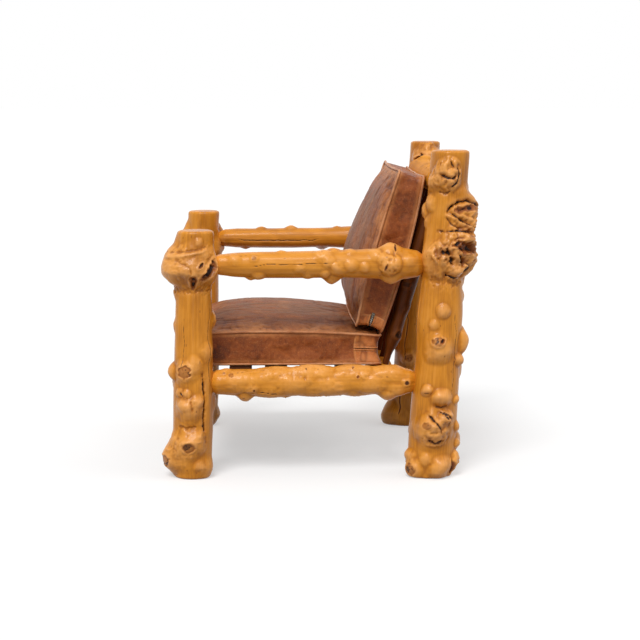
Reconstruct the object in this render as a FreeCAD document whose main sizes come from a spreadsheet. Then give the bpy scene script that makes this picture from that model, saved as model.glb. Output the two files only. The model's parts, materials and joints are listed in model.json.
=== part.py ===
import FreeCAD, Part
import math
import os
import Sketcher

# Rustic log lounge chair with two loose leather cushions
#
# Four burled pine posts carry two arms, two side rails and a front rail on round tenons.
# A rear seat rail runs between the side rails, and sloping spindles climb from it to a crest
# rail between the rear posts. Four slats lie across the side rails under the seat cushion.
# X runs across the chair with the sitter's left positive, Y runs back and Z up. The origin is
# on the floor, under the middle of the chair.

doc = FreeCAD.newDocument("log_lounge_chair")

# Driving sizes, in millimetres
SIZES = {
    # posts
    "post_spacing": 660,
    "front_post_setback": 343,
    "front_post_height": 655,
    "front_post_diameter": 100,
    "front_post_lean": 17,
    "rear_post_setback": 291,
    "rear_post_height": 862,
    "rear_post_diameter": 116,
    "rear_post_lean": 47,
    # rails
    "arm_diameter": 70,
    "arm_height": 565,
    "right_arm_rise": 8,
    "side_rail_diameter": 70,
    "side_rail_height": 252.5,
    "cross_rail_diameter": 66,
    "rear_rail_setback": 171,
    "crest_rail_diameter": 74,
    # joints between logs
    "tenon_diameter": 36,
    "cross_tenon_diameter": 28,
    "tenon_past_axis": 12,
    "tenon_short_of_axis": 21,
    "fit_clearance": 0.3,
    # seat slats and back spindles
    "slat_top_height": 284,
    "slat_width": 60,
    "slat_thickness": 20,
    "slat_pitch": 95,
    "front_slat_setback": 212,
    "slat_end_setback": 8,
    "slat_edge_ease": 3,
    "spindle_diameter": 43,
    "spindle_tenon_diameter": 20,
    "spindle_pitch": 114,
    # seat cushion
    "cushion_clearance": 0.3,
    "cushion_width": 530,
    "seat_cushion_depth": 508,
    "seat_cushion_overhang": 2,
    "seat_near_thickness": 77,
    "seat_far_thickness": 71,
    "seat_side_bow": 8,
    "seat_end_bow": 5,
    "seat_crown": 54,
    "seat_under_side_bow": 1,
    "seat_under_crown": 5,
    # back cushion
    "back_cushion_depth": 428,
    "back_near_thickness": 62,
    "back_far_thickness": 65,
    "back_side_bow": 6,
    "back_end_bow": 4,
    "back_crown": 60,
    "back_under_side_bow": 11,
    "back_under_crown": 15,
    "back_lean_run": 107,
    "back_lean_rise": 401,
    # leather work
    "leather_thickness": 2,
    "cushion_pull": 7,
    "cushion_plan_bow": 4,
    "cushion_corner_radius": 20,
    "piping_diameter": 6.4,
    "zip_width": 6,
    "zip_thickness": 1.4,
    "seat_zip_return": 76,
    "back_zip_return": 45,
    "slider_length": 11,
    "slider_width": 8,
    "slider_thickness": 3,
    "slider_nose_width": 5,
    "slider_bridge_length": 6,
    "slider_bridge_width": 2.4,
    "slider_bridge_height": 1.8,
    # making
    "overrun": 20,
    "skin_tolerance": 0.001,
}

sheet = doc.addObject("Spreadsheet::Sheet", "sizes")
for row, (alias, value) in enumerate(SIZES.items(), 1):
    sheet.set(f"A{row}", alias)
    sheet.set(f"B{row}", str(value))
    sheet.setAlias(f"B{row}", alias)
doc.recompute()


def size(alias):
    """One driving size, read from the sheet."""
    return float(sheet.get(alias))


SIDES = {"left": 1, "right": -1}

# Counts of the flats that each log is hewn to
POST_SIDES = 14
RAIL_SIDES = 12
SPINDLE_SIDES = 8
SLAT_COUNT = 4
SPINDLE_COUNT = 5
FRONT_POST_SPANS = 23
REAR_POST_SPANS = 29
RAIL_SPANS = 14
PIPING_SIDES = 6
SIDE_SPANS = 6
CORNER_SPANS = 3
CROWN_SPANS = 12

# Levels of the boxing between its two seams, and places across the foam and along it
BOXING_LEVEL_SHARES = (0.0, 0.3, 0.7, 1.0)
FOAM_ACROSS_SHARES = (-1.0, -0.95, -0.5, 0.0, 0.5, 0.95, 1.0)
FOAM_ALONG_SHARES = (-1.0, -0.5, 0.0, 0.5, 1.0)

# How far each crown is fuller towards its near edge, or, below nothing, towards its far edge
CROWN_LEAN_SHARES = {"seat": 0.25, "back": -0.25}

# Girth of each kind of log: share of its length, share of its radius
FRONT_POST_GIRTH_SHARES = (
    (0.00, 0.93), (0.05, 1.02), (0.30, 1.05), (0.60, 1.00), (0.80, 0.97),
    (0.93, 0.95), (0.98, 0.95), (1.00, 0.87),
)
REAR_POST_GIRTH_SHARES = (
    (0.00, 1.00), (0.05, 1.05), (0.25, 1.07), (0.45, 1.02), (0.65, 0.95),
    (0.80, 0.89), (0.98, 0.84), (1.00, 0.77),
)
ARM_GIRTH_SHARES = (
    (0.00, 0.55), (0.05, 0.84), (0.12, 0.90), (0.50, 1.00), (0.90, 1.10),
    (0.95, 1.00), (1.00, 0.60),
)
SIDE_RAIL_GIRTH_SHARES = (
    (0.00, 0.60), (0.05, 0.95), (0.15, 1.04), (0.50, 0.96), (0.88, 1.00),
    (0.95, 0.88), (1.00, 0.55),
)
CROSS_RAIL_GIRTH_SHARES = (
    (0.00, 0.60), (0.06, 0.92), (0.15, 1.00), (0.85, 1.00), (0.94, 0.92), (1.00, 0.60),
)
SPINDLE_STATION_SHARES = (0, 0.08, 0.10, 0.20, 0.40, 0.60, 0.80, 0.90, 0.92, 1)

# Burls of each log, each with its share of the length, its share of a turn, its reach over the
# skin and its rise, both as shares of the log's diameter. On a post the turn starts at +X and
# goes by the back, on an arm or side rail it starts at +X and goes by the underside, and on a
# cross rail it starts below and goes by the back.
FRONT_LEFT_BURL_SHARES = (
    (0.850, 0.80, 0.66, 0.38), (0.846, 0.05, 0.60, 0.26), (0.832, 0.24, 0.42, 0.10),
    (0.860, 0.52, 0.55, 0.07), (0.950, 0.99, 0.18, 0.06), (0.755, 0.77, 0.20, 0.06),
    (0.615, 0.76, 0.18, 0.04), (0.435, 0.91, 0.24, 0.09), (0.438, 0.76, 0.27, 0.17),
    (0.280, 0.93, 0.34, 0.16), (0.268, 0.02, 0.22, 0.09), (0.128, 0.97, 0.38, 0.18),
    (0.088, 0.78, 0.46, 0.28), (0.030, 0.20, 0.30, 0.09), (0.190, 0.45, 0.34, 0.14),
    (0.520, 0.14, 0.22, 0.08), (0.110, 0.55, 0.36, 0.15),
)
FRONT_RIGHT_BURL_SHARES = (
    (0.845, 0.68, 0.66, 0.30), (0.858, 0.46, 0.60, 0.34), (0.830, 0.26, 0.42, 0.10),
    (0.850, 0.96, 0.50, 0.06), (0.930, 0.57, 0.20, 0.07), (0.600, 0.58, 0.26, 0.13),
    (0.460, 0.43, 0.32, 0.16), (0.400, 0.70, 0.28, 0.13), (0.280, 0.58, 0.38, 0.19),
    (0.170, 0.38, 0.34, 0.15), (0.100, 0.70, 0.46, 0.24), (0.050, 0.30, 0.32, 0.11),
    (0.200, 0.04, 0.30, 0.11), (0.110, 0.92, 0.34, 0.14),
)
REAR_LEFT_BURL_SHARES = (
    (0.920, 0.03, 0.38, 0.15), (0.818, 0.22, 0.36, 0.36), (0.705, 0.12, 0.60, 0.30),
    (0.780, 0.12, 0.34, 0.22), (0.690, 0.94, 0.30, 0.12), (0.818, 0.74, 0.20, 0.09),
    (0.512, 0.05, 0.16, 0.07), (0.470, 0.98, 0.15, 0.06), (0.394, 0.03, 0.33, 0.15),
    (0.427, 0.22, 0.22, 0.20), (0.370, 0.17, 0.19, 0.09), (0.276, 0.96, 0.14, 0.06),
    (0.246, 0.06, 0.23, 0.11), (0.248, 0.13, 0.17, 0.07), (0.157, 0.00, 0.43, 0.22),
    (0.195, 0.11, 0.20, 0.07), (0.038, 0.07, 0.30, 0.12), (0.030, 0.87, 0.26, 0.11),
    (0.035, 0.20, 0.22, 0.08), (0.880, 0.36, 0.28, 0.12), (0.620, 0.38, 0.36, 0.17),
    (0.480, 0.42, 0.26, 0.11), (0.330, 0.36, 0.34, 0.16), (0.200, 0.42, 0.30, 0.14),
    (0.100, 0.34, 0.34, 0.16), (0.140, 0.62, 0.26, 0.11),
)
REAR_RIGHT_BURL_SHARES = (
    (0.940, 0.98, 0.22, 0.08), (0.905, 0.42, 0.36, 0.16), (0.800, 0.31, 0.40, 0.22),
    (0.710, 0.42, 0.58, 0.28), (0.620, 0.56, 0.30, 0.12), (0.550, 0.28, 0.26, 0.12),
    (0.450, 0.50, 0.40, 0.26), (0.370, 0.36, 0.24, 0.10), (0.247, 0.96, 0.20, 0.09),
    (0.190, 0.98, 0.20, 0.08), (0.290, 0.56, 0.30, 0.13), (0.170, 0.45, 0.42, 0.20),
    (0.030, 0.77, 0.48, 0.30), (0.060, 0.52, 0.34, 0.13), (0.050, 0.28, 0.30, 0.12),
    (0.420, 0.12, 0.22, 0.09), (0.090, 0.06, 0.28, 0.11),
)
ARM_LEFT_BURL_SHARES = (
    (0.558, 0.25, 0.34, 0.24), (0.565, 0.75, 0.20, 0.06), (0.835, 0.76, 0.42, 0.20),
    (0.840, 0.26, 0.38, 0.15), (0.850, 0.02, 0.34, 0.10), (0.190, 0.22, 0.20, 0.10),
    (0.200, 0.94, 0.14, 0.05), (0.360, 0.52, 0.26, 0.10), (0.700, 0.46, 0.30, 0.12),
)
ARM_RIGHT_BURL_SHARES = (
    (0.240, 0.76, 0.24, 0.08), (0.390, 0.74, 0.26, 0.13), (0.560, 0.30, 0.32, 0.16),
    (0.700, 0.50, 0.34, 0.16), (0.850, 0.70, 0.36, 0.16), (0.300, 0.48, 0.26, 0.12),
)
SIDE_LEFT_BURL_SHARES = (
    (0.178, 0.25, 0.30, 0.22), (0.375, 0.24, 0.20, 0.07), (0.860, 0.27, 0.42, 0.25),
    (0.620, 0.05, 0.20, 0.06), (0.900, 0.02, 0.24, 0.07), (0.480, 0.98, 0.16, 0.05),
)
SIDE_RIGHT_BURL_SHARES = (
    (0.140, 0.30, 0.34, 0.16), (0.420, 0.48, 0.26, 0.10), (0.660, 0.27, 0.32, 0.18),
    (0.880, 0.45, 0.34, 0.15), (0.300, 0.20, 0.22, 0.09),
)
FRONT_RAIL_BURL_SHARES = (
    (0.180, 0.80, 0.34, 0.16), (0.400, 0.95, 0.30, 0.15), (0.570, 0.74, 0.26, 0.10),
    (0.740, 0.88, 0.38, 0.20), (0.880, 0.10, 0.28, 0.12),
)
REAR_RAIL_BURL_SHARES = (
    (0.260, 0.05, 0.34, 0.16), (0.610, 0.95, 0.30, 0.14), (0.840, 0.12, 0.28, 0.12),
)
CREST_RAIL_BURL_SHARES = (
    (0.120, 0.42, 0.36, 0.16), (0.300, 0.28, 0.34, 0.16), (0.470, 0.10, 0.28, 0.12),
    (0.620, 0.34, 0.38, 0.18), (0.820, 0.20, 0.30, 0.14), (0.760, 0.52, 0.26, 0.08),
)

# How far out from a post's axis a rail's shoulder starts, as a share of the post's radius
SHOULDER_SHARE = 0.78

# How far each log wanders from a straight line, as a share of its diameter
POST_SWAY_SHARE = 0.03
RAIL_SWAY_SHARE = 0.03


def ease(low, high, share):
    """A value between two others, which leaves one and joins the other without a corner."""
    return low + (high - low) * (1 - math.cos(math.pi * share)) / 2


def girth(along, girth_shares):
    """Share of the radius at a share of the length, eased between the listed places."""
    for (start, before), (end, after) in zip(girth_shares, girth_shares[1:]):
        if along <= end:
            return ease(before, after, (along - start) / (end - start))
    return girth_shares[-1][1]


def burl_rise(along, turn, length, diameter, burl_shares):
    """Height of the burls over the round skin: each is a smooth dome that dies out at its reach."""
    rise = 0
    for burl_along, burl_turn, reach_share, rise_share in burl_shares:
        turned = (turn - burl_turn + 0.5) % 1 - 0.5
        up = (along - burl_along) * length
        over = turned * math.pi * diameter
        distance = (up * up + over * over) / (reach_share * diameter) ** 2
        if distance < 1:
            rise += rise_share * diameter * (1 - distance) ** 1.5
    return rise


def faceted_solid(rings, closed=False):
    """Solid skinned with flat triangles from ring to ring, and capped, or closed into a loop."""
    sides = len(rings[0])
    points = [point for ring in rings for point in ring]
    triangles = []
    spans = len(rings) if closed else len(rings) - 1
    for span in range(spans):
        low = span * sides
        high = (span + 1) % len(rings) * sides
        for side in range(sides):
            beside = (side + 1) % sides
            triangles.append((low + side, low + beside, high + beside))
            triangles.append((low + side, high + beside, high + side))
    if not closed:
        foot = len(points)
        points.append(sum(rings[0], FreeCAD.Vector()) / sides)
        points.append(sum(rings[-1], FreeCAD.Vector()) / sides)
        last = (len(rings) - 1) * sides
        for side in range(sides):
            beside = (side + 1) % sides
            triangles.append((foot, beside, side))
            triangles.append((foot + 1, last + side, last + beside))
    skin = Part.Shape()
    skin.makeShapeFromMesh((points, triangles), size("skin_tolerance"), False)
    return Part.makeSolid(Part.makeShell(skin.Faces))


def even_stations(spans):
    """Shares of the length for rings that are evenly spaced."""
    return [span / spans for span in range(spans + 1)]


def log_solid(length, diameter, girth_shares, burl_shares, sides, stations, lean=0, sway=0):
    """Log along Z: its girth and burls at each station, on an axis that leans and wanders."""
    loops = []
    for along in stations:
        wander = sway * diameter * math.sin(math.pi * along)
        centre = FreeCAD.Vector(
            wander * math.sin(math.tau * along),
            lean * along + wander * math.cos(math.pi * along),
            length * along,
        )
        loop = []
        for side in range(sides):
            turn = side / sides
            radius = diameter / 2 * girth(along, girth_shares)
            radius += burl_rise(along, turn, length, diameter, burl_shares)
            angle = math.tau * turn
            loop.append(centre + FreeCAD.Vector(math.cos(angle), math.sin(angle), 0) * radius)
        loops.append(loop)
    return faceted_solid(loops)


def feature(name, shape, placement=FreeCAD.Placement()):
    """A piece or blank whose shape the functions here work out from the sheet."""
    thing = doc.addObject("Part::Feature", name)
    thing.Label = name
    thing.Shape = shape
    thing.Placement = placement
    return thing


def fused(name, things):
    """Several blanks or tools made one."""
    whole = doc.addObject("Part::MultiFuse", name)
    whole.Label = name
    whole.Shapes = things
    return whole


def cut(name, base, tools):
    """A base less its tools."""
    rest = doc.addObject("Part::Cut", name)
    rest.Label = name
    rest.Base = base
    rest.Tool = tools[0] if len(tools) == 1 else fused(name + "_tools", tools)
    return rest


def common(name, base, tool):
    """What two blanks share."""
    shared = doc.addObject("Part::Common", name)
    shared.Label = name
    shared.Base = base
    shared.Tool = tool
    return shared


# Where the logs cross

def post_axis(row, height):
    """The front or rear posts' axis in Y at a height, on their lean."""
    if row == "front":
        return -size("front_post_setback") + size("front_post_lean") * height / size("front_post_height")
    return size("rear_post_setback") + size("rear_post_lean") * height / size("rear_post_height")


UPRIGHT = FreeCAD.Rotation()
BACKWARD = FreeCAD.Rotation(FreeCAD.Vector(1, 0, 0), -90)
FORWARD = FreeCAD.Rotation(FreeCAD.Vector(1, 0, 0), 90)
LEFTWARD = FreeCAD.Rotation(FreeCAD.Vector(0, 1, 0), 90)
RIGHTWARD = FreeCAD.Rotation(FreeCAD.Vector(0, 1, 0), -90)


class Joint:
    """A round tenon and its blind mortise, which share an end, a direction and a diameter."""

    def __init__(self, name, end, rotation, diameter, length):
        self.name = name
        self.place = FreeCAD.Placement(end, rotation)
        self.diameter = diameter
        self.length = length

    def peg(self, kind, clearance):
        peg = doc.addObject("Part::Cylinder", f"{self.name}_{kind}")
        peg.Label = f"{self.name}_{kind}"
        peg.setExpression("Radius", f"sizes.{self.diameter} / 2 + {clearance}")
        peg.setExpression("Height", self.length)
        peg.Placement = self.place
        return peg

    def tenon(self):
        return self.peg("tenon", "0")

    def mortise(self):
        return self.peg("mortise", "sizes.fit_clearance")


def vector(across, back, up):
    return FreeCAD.Vector(across, back, up)


# Cushions
#
# Both cushions are made in a frame of their own: U across, V along the depth with the zip at its
# far edge, and W up from the flat of the boxing to the crowned face.

class Cushion:
    """Sizes of one cushion, and the surfaces that they give."""

    def __init__(self, name, prefix):
        self.name = name
        self.half_width = size("cushion_width") / 2
        self.half_depth = size(f"{prefix}_cushion_depth") / 2
        self.near_thickness = size(f"{prefix}_near_thickness")
        self.far_thickness = size(f"{prefix}_far_thickness")
        self.side_bow = size(f"{prefix}_side_bow")
        self.end_bow = size(f"{prefix}_end_bow")
        self.crown = size(f"{prefix}_crown")
        self.lean_share = CROWN_LEAN_SHARES[prefix]
        self.under_side_bow = size(f"{prefix}_under_side_bow")
        self.under_crown = size(f"{prefix}_under_crown")
        self.zip_return = size(f"{prefix}_zip_return")

    def top(self, across, along):
        """Height of the crowned face: it rises to the crown and falls off towards every edge."""
        share = (along + self.half_depth) / (2 * self.half_depth)
        middle = 1 - (across / self.half_width) ** 2
        arch = 4 * share * (1 - share) * (1 + self.lean_share * middle * (1 - 2 * share))
        edge = self.near_thickness + (self.far_thickness - self.near_thickness) * share
        crown = self.side_bow + (self.crown - self.side_bow) * middle
        return edge + self.end_bow * middle * (1 - share) + crown * arch

    def under(self, across, along):
        """Height of the face beneath, which bulges a little the other way."""
        share = (along + self.half_depth) / (2 * self.half_depth)
        middle = 1 - (across / self.half_width) ** 2
        crown = self.under_side_bow + (self.under_crown - self.under_side_bow) * middle
        return -crown * 4 * share * (1 - share)

    def pull(self, height):
        """How far the boxing is drawn in at a height: nothing at its two seams, most between."""
        half = self.mean_thickness() / 2
        return size("cushion_pull") * max(0, 1 - ((height - half) / half) ** 2)

    def mean_thickness(self):
        """Height of the boxing half way along the cushion."""
        return (self.near_thickness + self.far_thickness) / 2

    def faces_blank(self):
        """Block between the two crowned faces, skinned from side to side with flats."""
        beyond = self.half_depth + size("overrun")
        reach = self.half_width + size("overrun")
        along_places = [beyond * (2 * share - 1) for share in even_stations(CROWN_SPANS)]
        rings = []
        for share in even_stations(CROWN_SPANS):
            across = reach * (2 * share - 1)
            ring = [vector(across, along, self.top(across, along)) for along in along_places]
            ring += [vector(across, along, self.under(across, along)) for along in reversed(along_places)]
            rings.append(ring)
        return faceted_solid(rings)

    def outline(self, height):
        """Plan outline at a height: sides that bow in between rounded corners."""
        drawn = self.pull(height)
        half_u = self.half_width - drawn
        half_v = self.half_depth - drawn
        corner = size("cushion_corner_radius")
        bow = size("cushion_plan_bow")
        diagonal = corner * (1 - math.sqrt(0.5))
        edges = []
        for sign in (1, -1):
            side_start = vector(sign * half_u, -sign * (half_v - corner), height)
            side_end = vector(sign * half_u, sign * (half_v - corner), height)
            end_start = vector(sign * (half_u - corner), sign * half_v, height)
            end_end = vector(-sign * (half_u - corner), sign * half_v, height)
            next_start = vector(-sign * half_u, sign * (half_v - corner), height)
            middle = vector(sign * (half_u - bow), 0, height)
            edges.append(Part.Arc(side_start, middle, side_end).toShape())
            turn = vector(sign * (half_u - diagonal), sign * (half_v - diagonal), height)
            edges.append(Part.Arc(side_end, turn, end_start).toShape())
            middle = vector(0, sign * (half_v - bow), height)
            edges.append(Part.Arc(end_start, middle, end_end).toShape())
            turn = vector(-sign * (half_u - diagonal), sign * (half_v - diagonal), height)
            edges.append(Part.Arc(end_end, turn, next_start).toShape())
        return Part.Wire(edges)

    def sides_blank(self):
        """Upright block with the drawn-in sides, lofted through plan outlines at the boxing's levels."""
        spare = self.crown + size("overrun")
        levels = [share * self.mean_thickness() for share in BOXING_LEVEL_SHARES]
        levels = [-spare] + levels + [self.mean_thickness() + spare]
        return Part.makeLoft([self.outline(level) for level in levels], True, True)

    def boxing_inset(self):
        """How far in from the seams the middle of the boxing lies."""
        return self.pull(BOXING_LEVEL_SHARES[1] * self.mean_thickness())

    def inner_form(self, inset):
        """The cushion's form set in all round, skinned from side to side with few flats."""
        drawn = size("cushion_pull") + size("cushion_plan_bow") + inset
        half_u = self.half_width - drawn
        half_v = self.half_depth - drawn
        rings = []
        for across_share in FOAM_ACROSS_SHARES:
            across = across_share * half_u
            reach = half_v
            if abs(across_share) == max(FOAM_ACROSS_SHARES):
                reach -= size("cushion_corner_radius") / 2
            ring = []
            for along_share in FOAM_ALONG_SHARES:
                along = along_share * reach
                ring.append(vector(across, along, self.top(across, along) - inset))
            for along_share in (1, 0, -1):
                along = along_share * reach
                ring.append(vector(across, along, self.under(across, along) + inset))
            rings.append(ring)
        return faceted_solid(rings)

    def seam(self, inset, stand_off):
        """Points and outward directions round the boxing, counted from its near right corner."""
        half_u = self.half_width - inset
        half_v = self.half_depth - inset
        corner = size("cushion_corner_radius")
        corner_reach = (corner + stand_off) / math.cos(math.pi / 4 / CORNER_SPANS)
        points = []
        for quarter in range(4):
            start = math.pi / 2 * (quarter - 1)
            sign_u = 1 if quarter < 2 else -1
            sign_v = 1 if quarter in (1, 2) else -1
            for step in range(CORNER_SPANS + 1):
                angle = start + math.pi / 2 * step / CORNER_SPANS
                outward = vector(math.cos(angle), math.sin(angle), 0)
                centre = vector(sign_u * (half_u - corner), sign_v * (half_v - corner), 0)
                points.append((centre + outward * corner_reach, outward))
            for step in range(1, SIDE_SPANS):
                share = step / SIDE_SPANS
                points.append(self.side_point(quarter, share, half_u, half_v, corner, stand_off))
        return points

    def side_point(self, quarter, share, half_u, half_v, corner, stand_off):
        """A point along one bowed side, from the corner before it to the corner after."""
        bow = size("cushion_plan_bow") * 4 * share * (1 - share)
        if quarter in (0, 2):
            sign = 1 if quarter == 0 else -1
            across = sign * (half_u - bow + stand_off)
            along = sign * (2 * share - 1) * (half_v - corner)
            return vector(across, along, 0), vector(sign, 0, 0)
        sign = 1 if quarter == 1 else -1
        along = sign * (half_v - bow + stand_off)
        across = -sign * (2 * share - 1) * (half_u - corner)
        return vector(across, along, 0), vector(0, sign, 0)

    def cover(self):
        """Leather cover: a shell over the whole cushion, hollow for its filling."""
        faces = feature(f"{self.name}_faces", self.faces_blank())
        sides = feature(f"{self.name}_sides", self.sides_blank())
        hollow = feature(f"{self.name}_hollow", self.inner_form(size("leather_thickness")))
        return cut(f"{self.name}_cover", common(f"{self.name}_outside", faces, sides), [hollow])

    def filling(self):
        """Foam filling that fits the cover all round."""
        inset = size("leather_thickness") + size("cushion_clearance")
        return feature(f"{self.name}_foam", self.inner_form(inset))

    def piping(self, upper):
        """Piping sewn into the upper or lower seam: a thin round cord that follows the edge."""
        radius = size("piping_diameter") / 2
        stand_off = piping_stand_off()
        rings = []
        for point, outward in self.seam(0, stand_off):
            edge = point - outward * stand_off
            if upper:
                centre = point + vector(0, 0, self.top(edge.x, edge.y) + stand_off)
            else:
                centre = point + vector(0, 0, self.under(edge.x, edge.y) - stand_off)
            ring = []
            for side in range(PIPING_SIDES):
                angle = math.tau * side / PIPING_SIDES
                across = outward * (radius * math.cos(angle))
                ring.append(centre + across - vector(0, 0, radius * math.sin(angle)))
            rings.append(ring)
        level = "upper" if upper else "lower"
        return feature(f"{self.name}_{level}_piping", faceted_solid(rings, closed=True))

    def zip_height(self):
        """The zip runs half way up the boxing."""
        return self.mean_thickness() / 2

    def zip_line(self, stand_off):
        """The zip's path along the far boxing, with a return on each side."""
        half_u = self.half_width - self.boxing_inset()
        half_v = self.half_depth - self.boxing_inset()
        corner = size("cushion_corner_radius")
        end = self.half_depth - self.zip_return
        share = (end / (half_v - corner) + 1) / 2
        first = self.side_point(0, share, half_u, half_v, corner, stand_off)
        last = self.side_point(2, 1 - share, half_u, half_v, corner, stand_off)
        path = [entry for entry in self.seam(self.boxing_inset(), stand_off) if entry[0].y > end]
        return [first] + path + [last]

    def zip_chain(self):
        """Closed zip: a flat band that lies on the boxing half way up."""
        half = size("zip_width") / 2
        thickness = size("zip_thickness")
        height = self.zip_height()
        rings = []
        for point, outward in self.zip_line(size("cushion_clearance")):
            ring = []
            for depth, rise in ((0, half), (thickness, half), (thickness, -half), (0, -half)):
                ring.append(point + outward * depth + vector(0, 0, height + rise))
            rings.append(ring)
        return feature(f"{self.name}_zip", faceted_solid(rings))


def piping_stand_off():
    """How far the piping's middle stands outside the seam, both ways."""
    return (size("piping_diameter") / 2 + size("cushion_clearance")) * math.sqrt(0.5)


def zip_slider(cushion):
    """Zip slider: a plate with its nose corners cut off and a low bridge along it."""
    name = f"{cushion.name}_zip_slider"
    body = doc.addObject("PartDesign::Body", name)
    body.Label = name
    outline = centred_rectangle(body, f"{name}_outline", "XY_Plane", "slider_length", "slider_width")
    plate = body.newObject("PartDesign::Pad", f"{name}_plate")
    plate.Profile = outline
    plate.setExpression("Length", "sizes.slider_thickness")
    doc.recompute()
    nose = body.newObject("PartDesign::Chamfer", f"{name}_nose")
    nose.Base = (plate, edges_along(plate, vector(0, 0, 1), vector(1, 0, 0)))
    nose.setExpression("Size", "(sizes.slider_width - sizes.slider_nose_width) / 2")
    doc.recompute()
    bridge = body.newObject("PartDesign::AdditiveBox", f"{name}_bridge")
    bridge.setExpression("Length", "sizes.slider_bridge_length")
    bridge.setExpression("Width", "sizes.slider_bridge_width")
    bridge.setExpression("Height", "sizes.slider_thickness + sizes.slider_bridge_height")
    bridge.setExpression("Placement.Base.x", "-sizes.slider_bridge_length / 2")
    bridge.setExpression("Placement.Base.y", "-sizes.slider_bridge_width / 2")
    return body


def origin_plane(body, role):
    """One of a body's own origin planes."""
    return next(thing for thing in body.Origin.OriginFeatures if thing.Role == role)


def centred_rectangle(body, name, plane, width, depth):
    """Sketch of a rectangle about the origin, its two sides bound to the sheet."""
    sketch = body.newObject("Sketcher::SketchObject", name)
    sketch.AttachmentSupport = (origin_plane(body, plane), "")
    sketch.MapMode = "FlatFace"
    half_width = size(width) / 2
    half_depth = size(depth) / 2
    corners = [
        vector(-half_width, -half_depth, 0),
        vector(half_width, -half_depth, 0),
        vector(half_width, half_depth, 0),
        vector(-half_width, half_depth, 0),
    ]
    for start, end in zip(corners, corners[1:] + corners[:1]):
        sketch.addGeometry(Part.LineSegment(start, end), False)
    for line in range(4):
        sketch.addConstraint(Sketcher.Constraint("Coincident", line, 2, (line + 1) % 4, 1))
    for line in (0, 2):
        sketch.addConstraint(Sketcher.Constraint("Horizontal", line))
    for line in (1, 3):
        sketch.addConstraint(Sketcher.Constraint("Vertical", line))
    sketch.addConstraint(Sketcher.Constraint("Symmetric", 0, 1, 2, 1, -1, 1))
    across = sketch.addConstraint(Sketcher.Constraint("DistanceX", 0, 1, 0, 2, size(width)))
    sketch.setExpression(f"Constraints[{across}]", f"sizes.{width}")
    along = sketch.addConstraint(Sketcher.Constraint("DistanceY", 1, 1, 1, 2, size(depth)))
    sketch.setExpression(f"Constraints[{along}]", f"sizes.{depth}")
    return sketch


def edges_along(thing, direction, beyond=None):
    """Names of a shape's straight edges in a direction, and on its far side if one is given."""
    names = []
    for number, edge in enumerate(thing.Shape.Edges, 1):
        parallel = abs(edge.tangentAt(edge.FirstParameter).dot(direction)) > 1 - size("skin_tolerance")
        if parallel and (beyond is None or edge.CenterOfMass.dot(beyond) > 0):
            names.append(f"Edge{number}")
    return names


# Frame

POST_LOGS = {
    ("front", "left"): (FRONT_LEFT_BURL_SHARES, 1.00),
    ("front", "right"): (FRONT_RIGHT_BURL_SHARES, 0.96),
    ("rear", "left"): (REAR_LEFT_BURL_SHARES, 1.00),
    ("rear", "right"): (REAR_RIGHT_BURL_SHARES, 0.90),
}


def post_skin(row, side):
    """One post before its mortises are drilled, on its foot and its lean."""
    front = row == "front"
    burl_shares, thickness_share = POST_LOGS[row, side]
    solid = log_solid(
        size(f"{row}_post_height"),
        size(f"{row}_post_diameter") * thickness_share,
        FRONT_POST_GIRTH_SHARES if front else REAR_POST_GIRTH_SHARES,
        burl_shares,
        POST_SIDES,
        even_stations(FRONT_POST_SPANS if front else REAR_POST_SPANS),
        lean=size(f"{row}_post_lean"),
        sway=POST_SWAY_SHARE,
    )
    foot = vector(SIDES[side] * size("post_spacing") / 2, post_axis(row, 0), 0)
    return feature(f"{row}_post_{side}_skin", solid, FreeCAD.Placement(foot, UPRIGHT))


def long_rail(name, side, height, diameter, girth_shares, burl_shares):
    """Blank of a rail from front to rear post, its shoulders run a little into both."""
    start = post_axis("front", height) + SHOULDER_SHARE * size("front_post_diameter") / 2
    end = post_axis("rear", height) - SHOULDER_SHARE * size("rear_post_diameter") / 2
    solid = log_solid(
        end - start, diameter, girth_shares, burl_shares, RAIL_SIDES, even_stations(RAIL_SPANS),
        sway=RAIL_SWAY_SHARE,
    )
    place = vector(SIDES[side] * size("post_spacing") / 2, start, height)
    return feature(f"{name}_blank", solid, FreeCAD.Placement(place, BACKWARD))


def cross_rail(name, length, back, height, diameter, burl_shares):
    """Blank of a rail across the chair."""
    solid = log_solid(
        length, diameter, CROSS_RAIL_GIRTH_SHARES, burl_shares, RAIL_SIDES, even_stations(RAIL_SPANS)
    )
    place = FreeCAD.Placement(vector(-length / 2, back, height), LEFTWARD)
    return feature(f"{name}_blank", solid, place)


def scribed(name, blank, skins, joints):
    """A rail whose shoulders are scribed to the logs that it meets, with its tenons."""
    shoulders = cut(f"{name}_shoulders", blank, skins)
    return fused(name, [shoulders] + [joint.tenon() for joint in joints])


def long_joints(name, side, height, front_end, rear_end):
    """Joints of a rail with the front and the rear post on its side."""
    across = SIDES[side] * size("post_spacing") / 2
    front = vector(across, post_axis("front", height) + front_end, height)
    rear = vector(across, post_axis("rear", height) - rear_end, height)
    return (
        Joint(f"{name}_front", front, BACKWARD, "tenon_diameter", "sizes.front_post_diameter"),
        Joint(f"{name}_rear", rear, FORWARD, "tenon_diameter", "sizes.rear_post_diameter"),
    )


def cross_joints(name, reach, back, height, diameter, length):
    """Joints at the two ends of a rail across the chair."""
    return (
        Joint(f"{name}_left", vector(reach, back, height), RIGHTWARD, diameter, length),
        Joint(f"{name}_right", vector(-reach, back, height), LEFTWARD, diameter, length),
    )


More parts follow.
